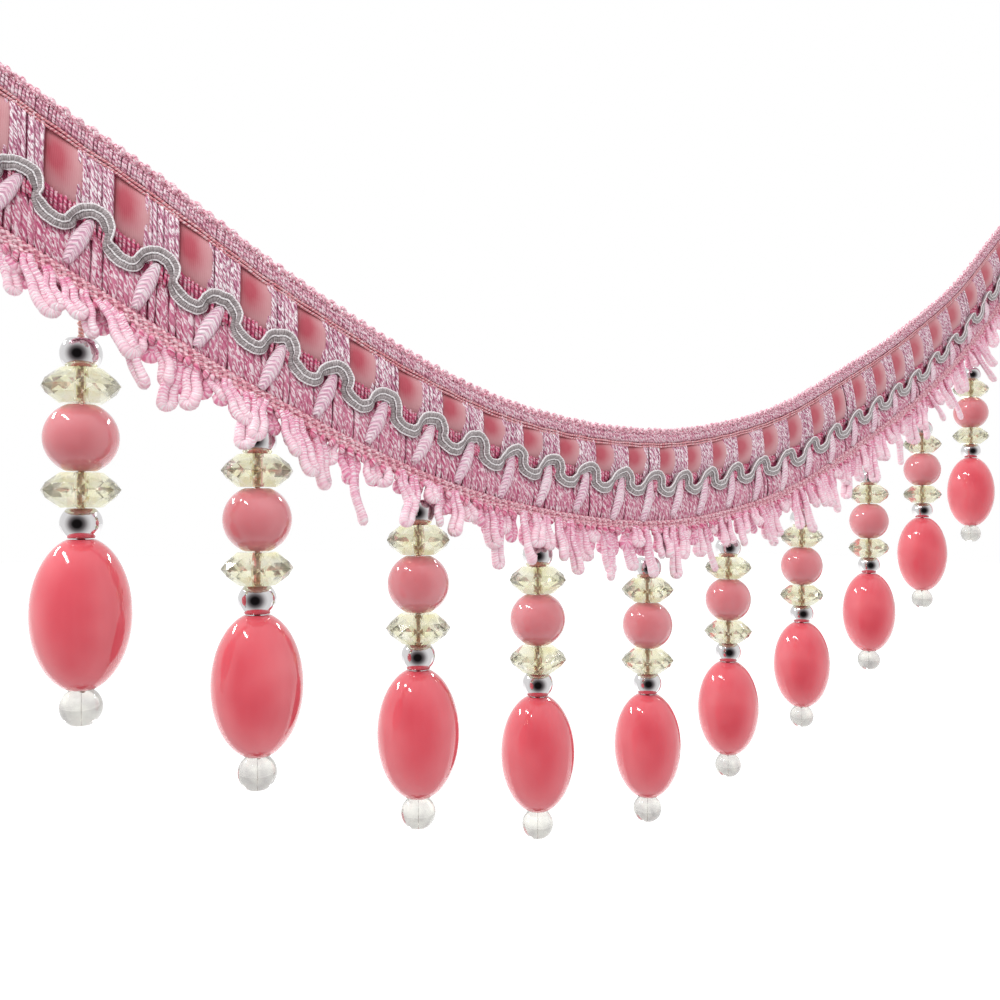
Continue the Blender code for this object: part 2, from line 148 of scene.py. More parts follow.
def add_node(tree: bpy.types.NodeTree, kind: str, inputs: dict | None = None, **settings) -> bpy.types.Node:
    """Adds a node with its settings and links.

    Args:
        tree: The tree that it goes in.
        kind: The node's type.
        inputs: A value, or the socket that feeds it, for each input by name or number.
        **settings: The node's own properties.

    Returns:
        The new node.
    """
    node = tree.nodes.new(kind)
    for name, value in settings.items():
        setattr(node, name, value)
    for name, value in (inputs or {}).items():
        if isinstance(value, bpy.types.NodeSocket):
            tree.links.new(value, node.inputs[name])
        else:
            node.inputs[name].default_value = value
    return node


def set_stops(ramp: bpy.types.Node, stops: list[tuple[float, str]]) -> None:
    """Gives a colour ramp its stops.

    Args:
        ramp: The colour ramp node.
        stops: Place and hex colour of each stop, in order.
    """
    elements = ramp.color_ramp.elements
    while len(elements) < len(stops):
        elements.new(0.5)
    for element, (place, colour) in zip(elements, stops):
        element.position = place
        element.color = linear(colour)


def new_material(name: str) -> tuple[bpy.types.Material, bpy.types.NodeTree, bpy.types.Node]:
    """Makes a material with an empty Principled shader.

    Args:
        name: The real material and how its surface was made.

    Returns:
        The material, its node tree and its Principled shader.
    """
    material = bpy.data.materials.new(name)
    material.use_nodes = True
    tree = material.node_tree
    return material, tree, tree.nodes["Principled BSDF"]


@dataclass(frozen=True)
class YarnFinish:
    """Silky viscose yarn or cord: the twist's ridges are painted bright as painted highlight where strands
    would catch light, and the furrows between them painted deep as painted shade.
    """

    name: str
    # deep is the painted shade for the furrows, middle the yarn's own colour, light the painted highlight
    # for the ridges.
    deep: str
    middle: str
    light: str
    stitch: Stitch = Stitch.TWISTED
    strands: float = 2.0
    pitch_mm: float = 1.8
    relief_mm: float = 0.16
    tone_share: float = 0.35
    roughness: float = 0.42
    sheen: float = 0.35
    # glint and its colour set the strength and colour of the painted glints mixed into the base colour.
    glint: float = 0.5
    painted_glint_colour: str = "#FFF4F8"

    def material(self) -> bpy.types.Material:
        """Builds the material; the mesh's UV is turns round the strand, and millimetres along it.

        Returns:
            The material.
        """
        material, tree, shader = new_material(self.name)
        node = partial(add_node, tree)
        uv = node("ShaderNodeUVMap", uv_map="UVMap").outputs[0]
        split = node("ShaderNodeSeparateXYZ", {0: uv})
        around, along = split.outputs[0], split.outputs[1]
        if self.stitch is Stitch.CHAINETTE:
            fold = node("ShaderNodeMath", {0: around, 1: 0.25}, operation="PINGPONG").outputs[0]
            turns = node("ShaderNodeMath", {0: fold, 1: 4 * self.strands}, operation="MULTIPLY").outputs[0]
        else:
            turns = node("ShaderNodeMath", {0: around, 1: self.strands}, operation="MULTIPLY").outputs[0]
        rate = 1 / self.pitch_mm
        rise = node("ShaderNodeMath", {0: along, 1: rate, 2: turns}, operation="MULTIPLY_ADD").outputs[0]
        angle = node("ShaderNodeMath", {0: rise, 1: math.tau}, operation="MULTIPLY").outputs[0]
        wave = node("ShaderNodeMath", {0: angle}, operation="SINE").outputs[0]
        ridge = node("ShaderNodeMath", {0: wave, 1: 0.5, 2: 0.5}, operation="MULTIPLY_ADD").outputs[0]

        # Filaments: about 0.1 mm apart on the real floss, drawn three times as coarse so that they show.
        stretch = node("ShaderNodeVectorMath", {0: uv, 1: (9.0, 1.1, 1.0)}, operation="MULTIPLY").outputs[0]
        floss = node("ShaderNodeTexNoise", {"Vector": stretch, "Scale": 1.6, "Detail": 2.0}).outputs[0]
        tone = node("ShaderNodeAttribute", attribute_name="tone").outputs[2]
        ridge_share = 1 - self.tone_share
        mixed = node("ShaderNodeMath", {0: tone, 1: self.tone_share}, operation="MULTIPLY").outputs[0]
        level = node(
            "ShaderNodeMath", {0: ridge, 1: ridge_share, 2: mixed}, operation="MULTIPLY_ADD"
        ).outputs[0]
        spread = node("ShaderNodeMath", {0: floss, 1: 0.5, 2: -0.25}, operation="MULTIPLY_ADD").outputs[0]
        shade = node("ShaderNodeMath", {0: level, 1: spread}, operation="ADD").outputs[0]
        # The ramp paints the twist into the colour: furrows take the deep colour as painted shade, ridges
        # the light colour as painted highlight.
        ramp = node("ShaderNodeValToRGB", {0: shade})
        set_stops(ramp, [(0.08, self.deep), (0.36, self.middle), (0.6, self.middle), (0.92, self.light)])

        # Painted glints: short broken near-white flashes painted into the colour where filaments would turn
        # to the light, each strand with its own.
        slant = node("ShaderNodeMath", {0: rise, 1: 3.0}, operation="MULTIPLY").outputs[0]
        run = node("ShaderNodeMath", {0: along, 1: 0.8}, operation="MULTIPLY").outputs[0]
        strand = node("ShaderNodeMath", {0: tone, 1: 40.0}, operation="MULTIPLY").outputs[0]
        spot = node("ShaderNodeCombineXYZ", {0: slant, 1: run, 2: strand}).outputs[0]
        fleck = node("ShaderNodeTexNoise", {"Vector": spot, "Scale": 1.0, "Detail": 1.0}).outputs[0]
        painted_glint_amount = node(
            "ShaderNodeMapRange", {"Value": fleck, "From Min": 0.51, "From Max": 0.58, "To Max": self.glint}
        ).outputs[0]
        colour = node(
            "ShaderNodeMix", {0: painted_glint_amount, 6: ramp.outputs[0], 7: linear(self.painted_glint_colour)}, data_type="RGBA"
        ).outputs[2]
        tree.links.new(colour, shader.inputs["Base Color"])

        height = node("ShaderNodeMath", {0: floss, 1: 0.25, 2: ridge}, operation="MULTIPLY_ADD").outputs[0]
        bump = node(
            "ShaderNodeBump", {"Height": height, "Strength": 0.7, "Distance": self.relief_mm * MM}
        ).outputs[0]
        tree.links.new(bump, shader.inputs["Normal"])
        shader.inputs["Roughness"].default_value = self.roughness
        shader.inputs["IOR"].default_value = 1.53
        shader.inputs["Sheen Weight"].default_value = self.sheen
        shader.inputs["Sheen Roughness"].default_value = 0.4
        shader.inputs["Sheen Tint"].default_value = linear(self.light)
        return material


@dataclass(frozen=True)
class SatinFinish:
    """Woven satin ribbon: smooth, with fine cross ribs, painted deep coral towards the middle of each
    window as painted shade and pale towards its edges as painted sheen.
    """

    name: str
    deep: str
    pale: str
    rib_mm: float = 0.45

    def material(self) -> bpy.types.Material:
        """Builds the material; the mesh's tone is how much painted shade the ribbon takes, its UV is
        millimetres.

        Returns:
            The material.
        """
        material, tree, shader = new_material(self.name)
        node = partial(add_node, tree)
        tone = node("ShaderNodeAttribute", attribute_name="tone").outputs[2]
        uv = node("ShaderNodeUVMap", uv_map="UVMap").outputs[0]
        along = node("ShaderNodeSeparateXYZ", {0: uv}).outputs[0]
        rate = math.tau / self.rib_mm
        angle = node("ShaderNodeMath", {0: along, 1: rate}, operation="MULTIPLY").outputs[0]
        rib = node("ShaderNodeMath", {0: angle}, operation="SINE").outputs[0]
        blotch = node("ShaderNodeTexNoise", {"Vector": uv, "Scale": 0.35, "Detail": 3.0}).outputs[0]
        level = node("ShaderNodeMath", {0: blotch, 1: 0.3, 2: tone}, operation="MULTIPLY_ADD").outputs[0]
        shade = node("ShaderNodeMath", {0: rib, 1: 0.035, 2: level}, operation="MULTIPLY_ADD").outputs[0]
        # Low tone gives the pale colour and high tone the deep coral: painted shade and painted sheen over
        # the ribbon's own colour.
        ramp = node("ShaderNodeValToRGB", {0: shade})
        set_stops(ramp, [(0.12, self.pale), (1.0, self.deep)])
        tree.links.new(ramp.outputs[0], shader.inputs["Base Color"])
        bump = node("ShaderNodeBump", {"Height": rib, "Strength": 0.3, "Distance": 0.03 * MM}).outputs[0]
        tree.links.new(bump, shader.inputs["Normal"])
        shader.inputs["Roughness"].default_value = 0.4
        shader.inputs["IOR"].default_value = 1.53
        shader.inputs["Sheen Weight"].default_value = 0.5
        shader.inputs["Sheen Roughness"].default_value = 0.35
        return material


@dataclass(frozen=True)
class RoseAcrylicFinish:
    """Moulded and tumbled acrylic, milky inside: light sinks in, faint flow streaks run from end to end."""

    name: str
    deep: str
    middle: str
    pale: str
    streak: float = 0.5

    def material(self) -> bpy.types.Material:
        """Builds the material in the bead's own coordinates, with Z along its bore.

        Returns:
            The material.
        """
        material, tree, shader = new_material(self.name)
        node = partial(add_node, tree)
        place = node("ShaderNodeTexCoord").outputs["Object"]
        squeeze = node(
            "ShaderNodeVectorMath", {0: place, 1: (330.0, 330.0, 22.0)}, operation="MULTIPLY"
        ).outputs[0]
        flow = node("ShaderNodeTexNoise", {"Vector": squeeze, "Scale": 1.0, "Detail": 2.0}).outputs[0]
        cloud = node("ShaderNodeTexNoise", {"Vector": place, "Scale": 90.0, "Detail": 1.0}).outputs[0]
        level = node(
            "ShaderNodeMath", {0: flow, 1: self.streak, 2: cloud}, operation="MULTIPLY_ADD"
        ).outputs[0]
        ramp = node("ShaderNodeValToRGB", {0: level})
        start = 0.32 + 0.4 * self.streak
        set_stops(ramp, [(start, self.deep), (start + 0.22, self.middle), (start + 0.5, self.pale)])
        tree.links.new(ramp.outputs[0], shader.inputs["Base Color"])
        shader.inputs["Roughness"].default_value = 0.09
        shader.inputs["IOR"].default_value = 1.49
        shader.inputs["Subsurface Weight"].default_value = 0.35
        shader.inputs["Subsurface Radius"].default_value = (1.0, 0.35, 0.35)
        shader.inputs["Subsurface Scale"].default_value = 0.003
        shader.inputs["Coat Weight"].default_value = 0.6
        shader.inputs["Coat Roughness"].default_value = 0.03
        return material


@dataclass(frozen=True)
class ClearAcrylicFinish:
    """Clear cast acrylic with cut or polished faces: light goes through, and faces glint at their edges."""

    name: str
    tint: str
    haze: float = 0.03

    def material(self) -> bpy.types.Material:
        """Builds the material, with slight clouding that follows the cast.

        Returns:
            The material.
        """
        material, tree, shader = new_material(self.name)
        node = partial(add_node, tree)
        place = node("ShaderNodeTexCoord").outputs["Object"]
        cloud = node("ShaderNodeTexNoise", {"Vector": place, "Scale": 260.0, "Detail": 2.0}).outputs[0]
        ramp = node("ShaderNodeValToRGB", {0: cloud})
        set_stops(ramp, [(0.3, self.tint), (0.75, "#F7F7EE")])
        tree.links.new(ramp.outputs[0], shader.inputs["Base Color"])
        shader.inputs["Roughness"].default_value = self.haze
        shader.inputs["IOR"].default_value = 1.49
        shader.inputs["Transmission Weight"].default_value = 0.92
        return material


@dataclass(frozen=True)
class PlatedFinish:
    """Bright vacuum plating on a moulded bead: a mirror with faint smears that widen its reflections."""

    name: str
    colour: str

    def material(self) -> bpy.types.Material:
        """Builds the material, its roughness smeared by a fine noise.

        Returns:
            The material.
        """
        material, tree, shader = new_material(self.name)
        node = partial(add_node, tree)
        place = node("ShaderNodeTexCoord").outputs["Object"]
        smear = node("ShaderNodeTexNoise", {"Vector": place, "Scale": 420.0, "Detail": 3.0}).outputs[0]
        haze = node("ShaderNodeMapRange", {"Value": smear, "To Min": 0.04, "To Max": 0.14}).outputs[0]
        tree.links.new(haze, shader.inputs["Roughness"])
        bump = node("ShaderNodeBump", {"Height": smear, "Strength": 0.12, "Distance": 0.05 * MM}).outputs[0]
        tree.links.new(bump, shader.inputs["Normal"])
        shader.inputs["Base Color"].default_value = linear(self.colour)
        shader.inputs["Metallic"].default_value = 1.0
        return material


@dataclass(frozen=True)
class Swag:
    """The heading's hanging surface: a curve through the stations, with the weave rising from it."""

    stations: tuple[Station, ...] = STATIONS

    def value(self, name: str, drop: np.ndarray) -> np.ndarray:
        """Reads a station value anywhere along the swag, on a smooth curve through the table.

        Args:
            name: A field of Station.
            drop: Places along the swag, counted in drops.

        Returns:
            The value at each place.
        """
        values = np.array([getattr(row, name) for row in self.stations], float)
        values = np.concatenate(([2 * values[0] - values[1]], values, [2 * values[-1] - values[-2]]))
        index = np.clip(np.floor(drop).astype(int), 0, len(self.stations) - 2)
        share = drop - index
        before, here, there, after = (values[index + step] for step in range(4))
        linear_part = there - before
        square = 2 * before - 5 * here + 4 * there - after
        cube = 3 * here - before - 3 * there + after
        return 0.5 * (2 * here + linear_part * share + square * share**2 + cube * share**3)

    def row(self, drop: np.ndarray) -> np.ndarray:
        """The lowest stitch row, in millimetres."""
        return np.stack([self.value(name, drop) for name in ("along", "depth", "row")], axis=-1)

    def spacing(self, drop: np.ndarray) -> np.ndarray:
        """The millimetres along the swag that one drop's step takes."""
        return np.linalg.norm(self.row(drop + 0.05) - self.row(drop - 0.05), axis=-1) / 0.1

    def axes(self, drop: np.ndarray) -> tuple[np.ndarray, np.ndarray, np.ndarray, np.ndarray]:
        """The directions of the cloth.

        Args:
            drop: Places along the swag, counted in drops.

        Returns:
            The level direction along the swag, the weave's upward one, the front's, and its stretch.
        """
        tangent = unit(self.row(drop + 0.01) - self.row(drop - 0.01))
        level = unit(tangent * (1, 1, 0))
        lean = np.radians(self.value("lean", drop))[..., None]
        upward = -np.sin(lean) * level + np.cos(lean) * np.array((0, 0, 1.0))
        front = np.stack([level[..., 1], -level[..., 0], np.zeros_like(level[..., 0])], axis=-1)
        stretch = 1 / np.linalg.norm(np.cross(tangent, upward), axis=-1)
        return level, upward, front, stretch

    def point(self, drop: np.ndarray, height: np.ndarray, out: np.ndarray) -> np.ndarray:
        """Points of the heading.

        Args:
            drop: Places along the swag, counted in drops.
            height: Millimetres above the stitch row, across the cloth.
            out: Millimetres in front of the cloth.

        Returns:
            The points in metres, with one more axis than the inputs.
        """
        drop, height, out = np.broadcast_arrays(*(np.asarray(item, float) for item in (drop, height, out)))
        _, upward, front, stretch = self.axes(drop)
        rise = (height * stretch)[..., None]
        return (self.row(drop) + upward * rise + front * out[..., None]) * MM

    def front(self, drop: np.ndarray) -> np.ndarray:
        """The direction that the cloth's face looks in."""
        return self.axes(np.asarray(drop, float))[2]

    def drop_of(self, repeat: np.ndarray) -> np.ndarray:
        """The place along the swag where the woven repeat has run a given number of times."""
        places = np.linspace(-0.5, len(self.stations) - 0.5, 2400)
        return np.interp(repeat, self.value("repeat", places), places)


def unit(vectors: np.ndarray) -> np.ndarray:
    """Vectors of the same directions and a length of one."""
    return vectors / np.maximum(np.linalg.norm(vectors, axis=-1, keepdims=True), 1e-12)


def smooth_line(points: np.ndarray, steps: int) -> np.ndarray:
    """Runs a smooth curve through points.

    Args:
        points: Points by coordinates.
        steps: Steps from one point to the next.

    Returns:
        The curve's points.
    """
    padded = np.concatenate([2 * points[:1] - points[1:2], points, 2 * points[-1:] - points[-2:-1]])
    share = (np.arange(steps) / steps)[None, :, None]
    before, here, there, after = (padded[i : len(padded) - 3 + i, None] for i in range(4))
    square = 2 * before - 5 * here + 4 * there - after
    cube = 3 * here - before - 3 * there + after
    curve = 0.5 * (2 * here + (there - before) * share + square * share**2 + cube * share**3)
    return np.concatenate([curve.reshape(-1, points.shape[1]), points[-1:]])


class Skein:
    """Many strands and faces gathered into one mesh, kept as arrays until it is built."""

    def __init__(self) -> None:
        """Starts with nothing in it."""
        self.points: list[np.ndarray] = []
        self.tones: list[np.ndarray] = []
        self.faces: dict[int, list[np.ndarray]] = {3: [], 4: []}
        self.uvs: dict[int, list[np.ndarray]] = {3: [], 4: []}
        self.count = 0

    def _keep(self, points: np.ndarray, tone: np.ndarray) -> int:
        """Adds points.

        Args:
            points: Points by coordinates, in metres.
            tone: Lightness from 0 to 1.

        Returns:
            The number of the first one.
        """
        first = self.count
        self.points.append(points.reshape(-1, 3))
        self.tones.append(np.broadcast_to(tone, points.shape[:-1]).reshape(-1))
        self.count += self.points[-1].shape[0]
        return first

    def add_faces(self, corners: np.ndarray, uv: np.ndarray) -> None:
        """Adds faces of three or four corners with their UVs.

        Args:
            corners: Faces by point numbers.
            uv: A pair for each corner.
        """
        sides = corners.shape[-1]
        self.faces[sides].append(corners.reshape(-1, sides))
        self.uvs[sides].append(uv.reshape(-1, sides, 2))

    def add_strands(
        self,
        paths: np.ndarray,
        front: np.ndarray,
        half_width: np.ndarray | float,
        half_thick: np.ndarray | float,
        sides: int = 6,
        tone: np.ndarray | float = 0.5,
        start_mm: np.ndarray | float = 0.0,
    ) -> None:
        """Adds round or flattened strands with closed ends.

        Args:
            paths: Middle lines in metres: strands, points, coordinates.
            front: The direction that each strand's flat side looks in, as one vector or for each point.
            half_width: Half its width in millimetres, as one value or for each point.
            half_thick: Half its thickness, likewise.
            sides: Sides round a strand.
            tone: Lightness from 0 to 1, as one value or for each point.
            start_mm: Where each strand's pattern starts.
        """
        strands, rows, _ = paths.shape
        along = unit(np.gradient(paths, axis=1))
        front = np.broadcast_to(front, paths.shape)
        side = unit(np.cross(front, along))
        outward = np.cross(along, side)
        turn = np.arange(sides) * math.tau / sides
        wide = np.broadcast_to(half_width, (strands, rows))[..., None, None] * MM
        thick = np.broadcast_to(half_thick, (strands, rows))[..., None, None] * MM
        rings = (
            paths[:, :, None, :]
            + side[:, :, None, :] * np.cos(turn)[:, None] * wide
            + outward[:, :, None, :] * np.sin(turn)[:, None] * thick
        )
        tones = np.broadcast_to(tone, (strands, rows))
        first = self._keep(rings, tones[..., None])
        starts = self._keep(paths[:, (0, -1)], tones[:, (0, -1)])

        steps = np.linalg.norm(np.diff(paths, axis=1), axis=-1) / MM
        length = np.concatenate([np.zeros((strands, 1)), np.cumsum(steps, axis=1)], axis=1)
        length = length + np.broadcast_to(start_mm, (strands,))[:, None]
        number = first + np.arange(strands * rows * sides).reshape(strands, rows, sides)
        beside = np.roll(number, -1, axis=2)
        corners = np.stack([number[:, :-1], beside[:, :-1], beside[:, 1:], number[:, 1:]], axis=-1)
        around = np.broadcast_to(np.arange(sides) / sides, (strands, rows - 1, sides))
        near = np.broadcast_to(length[:, :-1, None], around.shape)
        far = np.broadcast_to(length[:, 1:, None], around.shape)
        past = around + 1 / sides
        pairs = ((around, near), (past, near), (past, far), (around, far))
        uv = np.stack([np.stack(pair, axis=-1) for pair in pairs], axis=-2)
        self.add_faces(corners, uv)
        ends = starts + np.arange(strands * 2).reshape(strands, 2)
        for row, end, order in ((0, 0, (0, 2, 1)), (-1, 1, (0, 1, 2))):
            hub = np.broadcast_to(ends[:, end, None], (strands, sides))
            fan = np.stack([hub, number[:, row], beside[:, row]], axis=-1)[..., order]
            flat = np.zeros(fan.shape + (2,))
            flat[..., 1] = length[:, row, None, None]
            self.add_faces(fan, flat)

    def add_grid(self, points: np.ndarray, uv: np.ndarray, tone: np.ndarray, keep: np.ndarray) -> None:
        """Adds a sheet of four-sided faces.

        Args:
            points: Rows, columns, coordinates, in metres.
            uv: Rows, columns, two.
            tone: Lightness from 0 to 1.
            keep: Which faces stay, as rows less one by columns less one.
        """
        rows, columns, _ = points.shape
        first = self._keep(points, tone)
        number = first + np.arange(rows * columns).reshape(rows, columns)
        corners = np.stack([number[:-1, :-1], number[:-1, 1:], number[1:, 1:], number[1:, :-1]], axis=-1)
        spread = np.stack([uv[:-1, :-1], uv[:-1, 1:], uv[1:, 1:], uv[1:, :-1]], axis=-2)
        self.add_faces(corners[keep], spread[keep])

    def add_wrap(self, ring: np.ndarray, uv: np.ndarray, tone: np.ndarray | float = 0.5) -> None:
        """Adds a closed sheet.

        Args:
            ring: Rows along it, the first half up its front and the others down its back, in metres.
            uv: Rows, columns, two.
            tone: Lightness from 0 to 1.
        """
        rows, columns, _ = ring.shape
        number = self._keep(ring, tone) + np.arange(rows * columns).reshape(rows, columns)
        beyond, spread = np.roll(number, -1, axis=0), np.roll(uv, -1, axis=0)
        corners = np.stack([number[:, :-1], number[:, 1:], beyond[:, 1:], beyond[:, :-1]], axis=-1)
        self.add_faces(corners, np.stack([uv[:, :-1], uv[:, 1:], spread[:, 1:], spread[:, :-1]], axis=-2))
        for column, order in ((0, 1), (-1, -1)):
            near, far = number[: rows // 2, column], number[rows // 2 :, column][::-1]
            end = np.stack([near[:-1], near[1:], far[1:], far[:-1]], axis=-1)[:, ::order]
            self.add_faces(end, np.zeros(end.shape + (2,)))

    def build(self, name: str, material: bpy.types.Material, smooth: bool = True) -> bpy.types.Object:
        """Makes the object.

        Args:
            name: The piece's name.
            material: Its finish.
            smooth: Whether its faces blend into each other.

        Returns:
            The object, linked to the scene.
        """
        points = np.concatenate(self.points)
        tones = np.concatenate(self.tones)
        faces = {sides: np.concatenate(group) for sides, group in self.faces.items() if group}
        loops = np.concatenate([group.reshape(-1) for group in faces.values()])
        totals = np.concatenate([np.full(len(group), sides) for sides, group in faces.items()])
        uv = np.concatenate([np.concatenate(self.uvs[sides]).reshape(-1, 2) for sides in faces])
        mesh = bpy.data.meshes.new(name)
        mesh.vertices.add(len(points))
        mesh.vertices.foreach_set("co", points.astype(np.float32).reshape(-1))
        mesh.loops.add(len(loops))
        mesh.loops.foreach_set("vertex_index", loops.astype(np.int32))
        mesh.polygons.add(len(totals))
        mesh.polygons.foreach_set("loop_start", (np.cumsum(totals) - totals).astype(np.int32))
        mesh.update(calc_edges=True)
        mesh.uv_layers.new(name="UVMap").data.foreach_set("uv", uv.astype(np.float32).reshape(-1))
        mesh.attributes.new("tone", "FLOAT", "POINT").data.foreach_set("value", tones.astype(np.float32))
        mesh.validate()
        if smooth:
            mesh.shade_smooth()
        mesh.materials.append(material)
        piece = bpy.data.objects.new(name, mesh)
        bpy.context.scene.collection.objects.link(piece)
        return piece


def settle(piece: bpy.types.Object, slot: Slot, *nodes: str) -> bpy.types.Object:
    """Ties a piece to the part.

    Args:
        piece: The piece, in place.
        slot: A material slot; not used.
        *nodes: CAD nodes that it stands for.

    Returns:
        The same piece.
    """
    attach(piece, "root")
    if nodes:
        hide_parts(*nodes)
    LOG.info("%s: %d faces", piece.name, len(piece.data.polygons))
    return piece


@dataclass
class Heading:
    """The woven band: ground, yarns, bundles, salmon lines, ribbed band, picots and braided tabs."""

    swag: Swag
    draws: np.random.Generator
    foot: float = 2.9
    window_above_cord: float = 2.9
    window_below_top: float = 5.0
    window_share: float = 0.52
    flat_width: float = 27.5
    window_flat: tuple[float, float] = (7.4, 8.5)
    ground_front: float = -0.05
    ground_back: float = -1.4
    cord_swing: float = 2.5
    bundle_yarns: int = 9
    lower_yarns: int = 18
    foot_ribs: int = 9
    band_ribs: int = 22
    picots_per_repeat: int = 5

    def heights(self, drop: np.ndarray) -> tuple[np.ndarray, np.ndarray, np.ndarray]:
        """Heights over the lowest stitch row, in millimetres.

        Args:
            drop: Places along the swag, counted in drops.

        Returns:
            The cords' middle line, the windows' top and the heading's width at each place.
        """
        width = self.swag.value("width", drop)
        return self.swag.value("cord", drop), width - self.window_below_top, width

    def upright(
        self,
        repeats: np.ndarray,
        low: np.ndarray,
        high: np.ndarray,
        out: np.ndarray,
        sway: float,
        lean: float = 0.0,
    ) -> tuple[np.ndarray, np.ndarray]:
        """Middle lines of strands that run up the heading.

        Args:
            repeats: Where each strand stands, in repeats.
            low: Height of each strand's foot in millimetres.
            high: Height of its head.
            out: Distance in front at each point of a strand.
            sway: How far it wanders sideways, in repeats.
            lean: How far its head is set back, in repeats.

        Returns:
            The lines, and the direction that the cloth looks in along them.
        """
        share = np.linspace(0, 1, len(out))
        wander = self.draws.uniform(-sway, sway, (len(repeats), 3))
        bend = wander[:, :1] + wander[:, 1:2] * np.sin(math.pi * share) + wander[:, 2:] * share
        place = repeats[:, None] + bend - lean * share
        drop = self.swag.drop_of(place)
        height = low[:, None] + (high - low)[:, None] * share
        return self.swag.point(drop, height, out[None, :] + np.zeros_like(height)), self.swag.front(drop)

    def build_ground(self, finish: YarnFinish) -> bpy.types.Object:
        """The plain ground weave behind the yarns, with its windows cut through.

        Args:
            finish: Its finish.

        Returns:
            The piece.
        """
        half = 0.5 * self.window_share
        steps = np.array((0.0, 0.12, 0.5 - half, 0.5 + half, 0.88))
        repeats = np.append((np.arange(REPEATS)[:, None] + steps).reshape(-1), REPEATS)
        drop = self.swag.drop_of(repeats)
        cord, lintel, width = self.heights(drop)
        sill = cord + self.window_above_cord
        heights = [np.full_like(cord, self.foot), 0.4 * sill + 1.7, cord - 1, sill]
        heights += [0.5 * (sill + lintel), lintel, width - 3.2, width - 0.9]
        open_row = (3, 4)
        skein = Skein()
        front = np.stack([self.swag.point(drop, height, self.ground_front) for height in heights])
        back = np.stack([self.swag.point(drop, height, self.ground_back) for height in heights])
        keep = np.ones((len(heights) - 1, len(repeats) - 1), bool)
        for row in open_row:
            keep[row, 2::5] = False
        along = np.broadcast_to(self.swag.row(drop)[:, 0], (len(heights), len(repeats)))
        uv = np.stack([along, np.stack(heights)], axis=-1)
        tone = np.full((len(heights), len(repeats)), 0.35)
        skein.add_grid(front, uv, tone, keep)
        skein.add_grid(back[:, ::-1], uv[:, ::-1], tone, keep[:, ::-1])
        points_in_front = len(heights) * len(repeats)
        rows, columns = keep.shape
        padded = np.zeros((rows + 2, columns + 2), bool)
        padded[1:-1, 1:-1] = keep

        def joint(row: int, column: int, side: int) -> int:
            """The number of a front or back point."""
            if side == 0:
                return row * len(repeats) + column
            return points_in_front + row * len(repeats) + (len(repeats) - 1 - column)

        rims = []
        for row in range(rows):
            for column in range(columns):
                if not keep[row, column]:
                    continue
                under, right = row + 1, column + 1
                ring = ((row, column), (row, right), (under, right), (under, column))
                beyond = ((row, right), (under, column + 2), (row + 2, right), (under, column))
                for side in range(4):
                    if not padded[beyond[side]]:
                        start, end = ring[side], ring[(side + 1) % 4]
                        rims.append((joint(*end, 0), joint(*start, 0), joint(*start, 1), joint(*end, 1)))
        corners = np.array(rims)
        skein.add_faces(corners, np.zeros(corners.shape + (2,)))
        piece = skein.build("heading_ground", finish.material(), smooth=False)
        settle(piece, Slot.YARN, "heading")
        length = np.linalg.norm(np.diff(self.swag.row(drop), axis=0), axis=-1).sum() * MM
        return piece

    def build_bundles(self, finish: YarnFinish) -> bpy.types.Object:
        """Upright bundles of plied yarn between the windows.

        Args:
            finish: Its finish.

        Returns:
            The piece.
        """
        half = 0.5 * (1 - self.window_share)
        spots = np.linspace(-half, half, self.bundle_yarns)
        repeats = (np.arange(REPEATS + 1)[:, None] + spots).reshape(-1)
        repeats = repeats[(repeats > 0) & (repeats < REPEATS)]
        cord, lintel, _ = self.heights(self.swag.drop_of(repeats))
        share = np.linspace(0, 1, 11)
        out = 0.3 + 0.7 * np.sin(math.pi * share) ** 0.7
        paths, front = self.upright(repeats, cord + 0.4, lintel + 0.5, out, 0.012, 0.035)
        tone = self.draws.uniform(0.25, 0.85, (len(repeats), 1))
        skein = Skein()
        lift = self.draws.uniform(-0.15, 0.2, (len(repeats), 1, 1)) * MM
        start = self.draws.uniform(0, 4, len(repeats))
        skein.add_strands(paths + front * lift, front, 0.48, 0.44, 6, tone, start)
        return settle(skein.build("heading_bundles", finish.material()), Slot.YARN)

    def build_lower_yarns(self, finish: YarnFinish) -> bpy.types.Object:
        """The dense floss of the lower band, swelling between the cords and the stitch rows.

        Args:
            finish: Its finish.

        Returns:
            The piece.
        """
        spots = (np.arange(self.lower_yarns) + 0.5) / self.lower_yarns
        repeats = (np.arange(REPEATS)[:, None] + spots).reshape(-1)
        cord, _, _ = self.heights(self.swag.drop_of(repeats))
        peak = np.cos(math.tau * repeats)
        low = np.full_like(cord, self.foot - 0.6)
        high = cord - 1.7 + 0.5 * peak + self.draws.uniform(-0.4, 0.4, len(repeats))
        share = np.linspace(0, 1, 9)
        out = 0.25 + 0.95 * np.sin(math.pi * np.clip(share * 0.9 + 0.06, 0, 1)) ** 0.8
        paths, front = self.upright(repeats, low, high, out, 0.03, 0.03)
        paths = paths + front * self.draws.uniform(-0.3, 0.25, (len(repeats), 1, 1)) * MM
        swell = 0.46 + 0.26 * np.sin(math.pi * share)
        tone = self.draws.uniform(0.1, 0.8, (len(repeats), 1))
        skein = Skein()
        start = self.draws.uniform(0, 4, len(repeats))
        skein.add_strands(paths, front, swell[None, :], 0.75 * swell[None, :], 6, tone, start)
        return settle(skein.build("heading_lower_yarns", finish.material()), Slot.YARN)

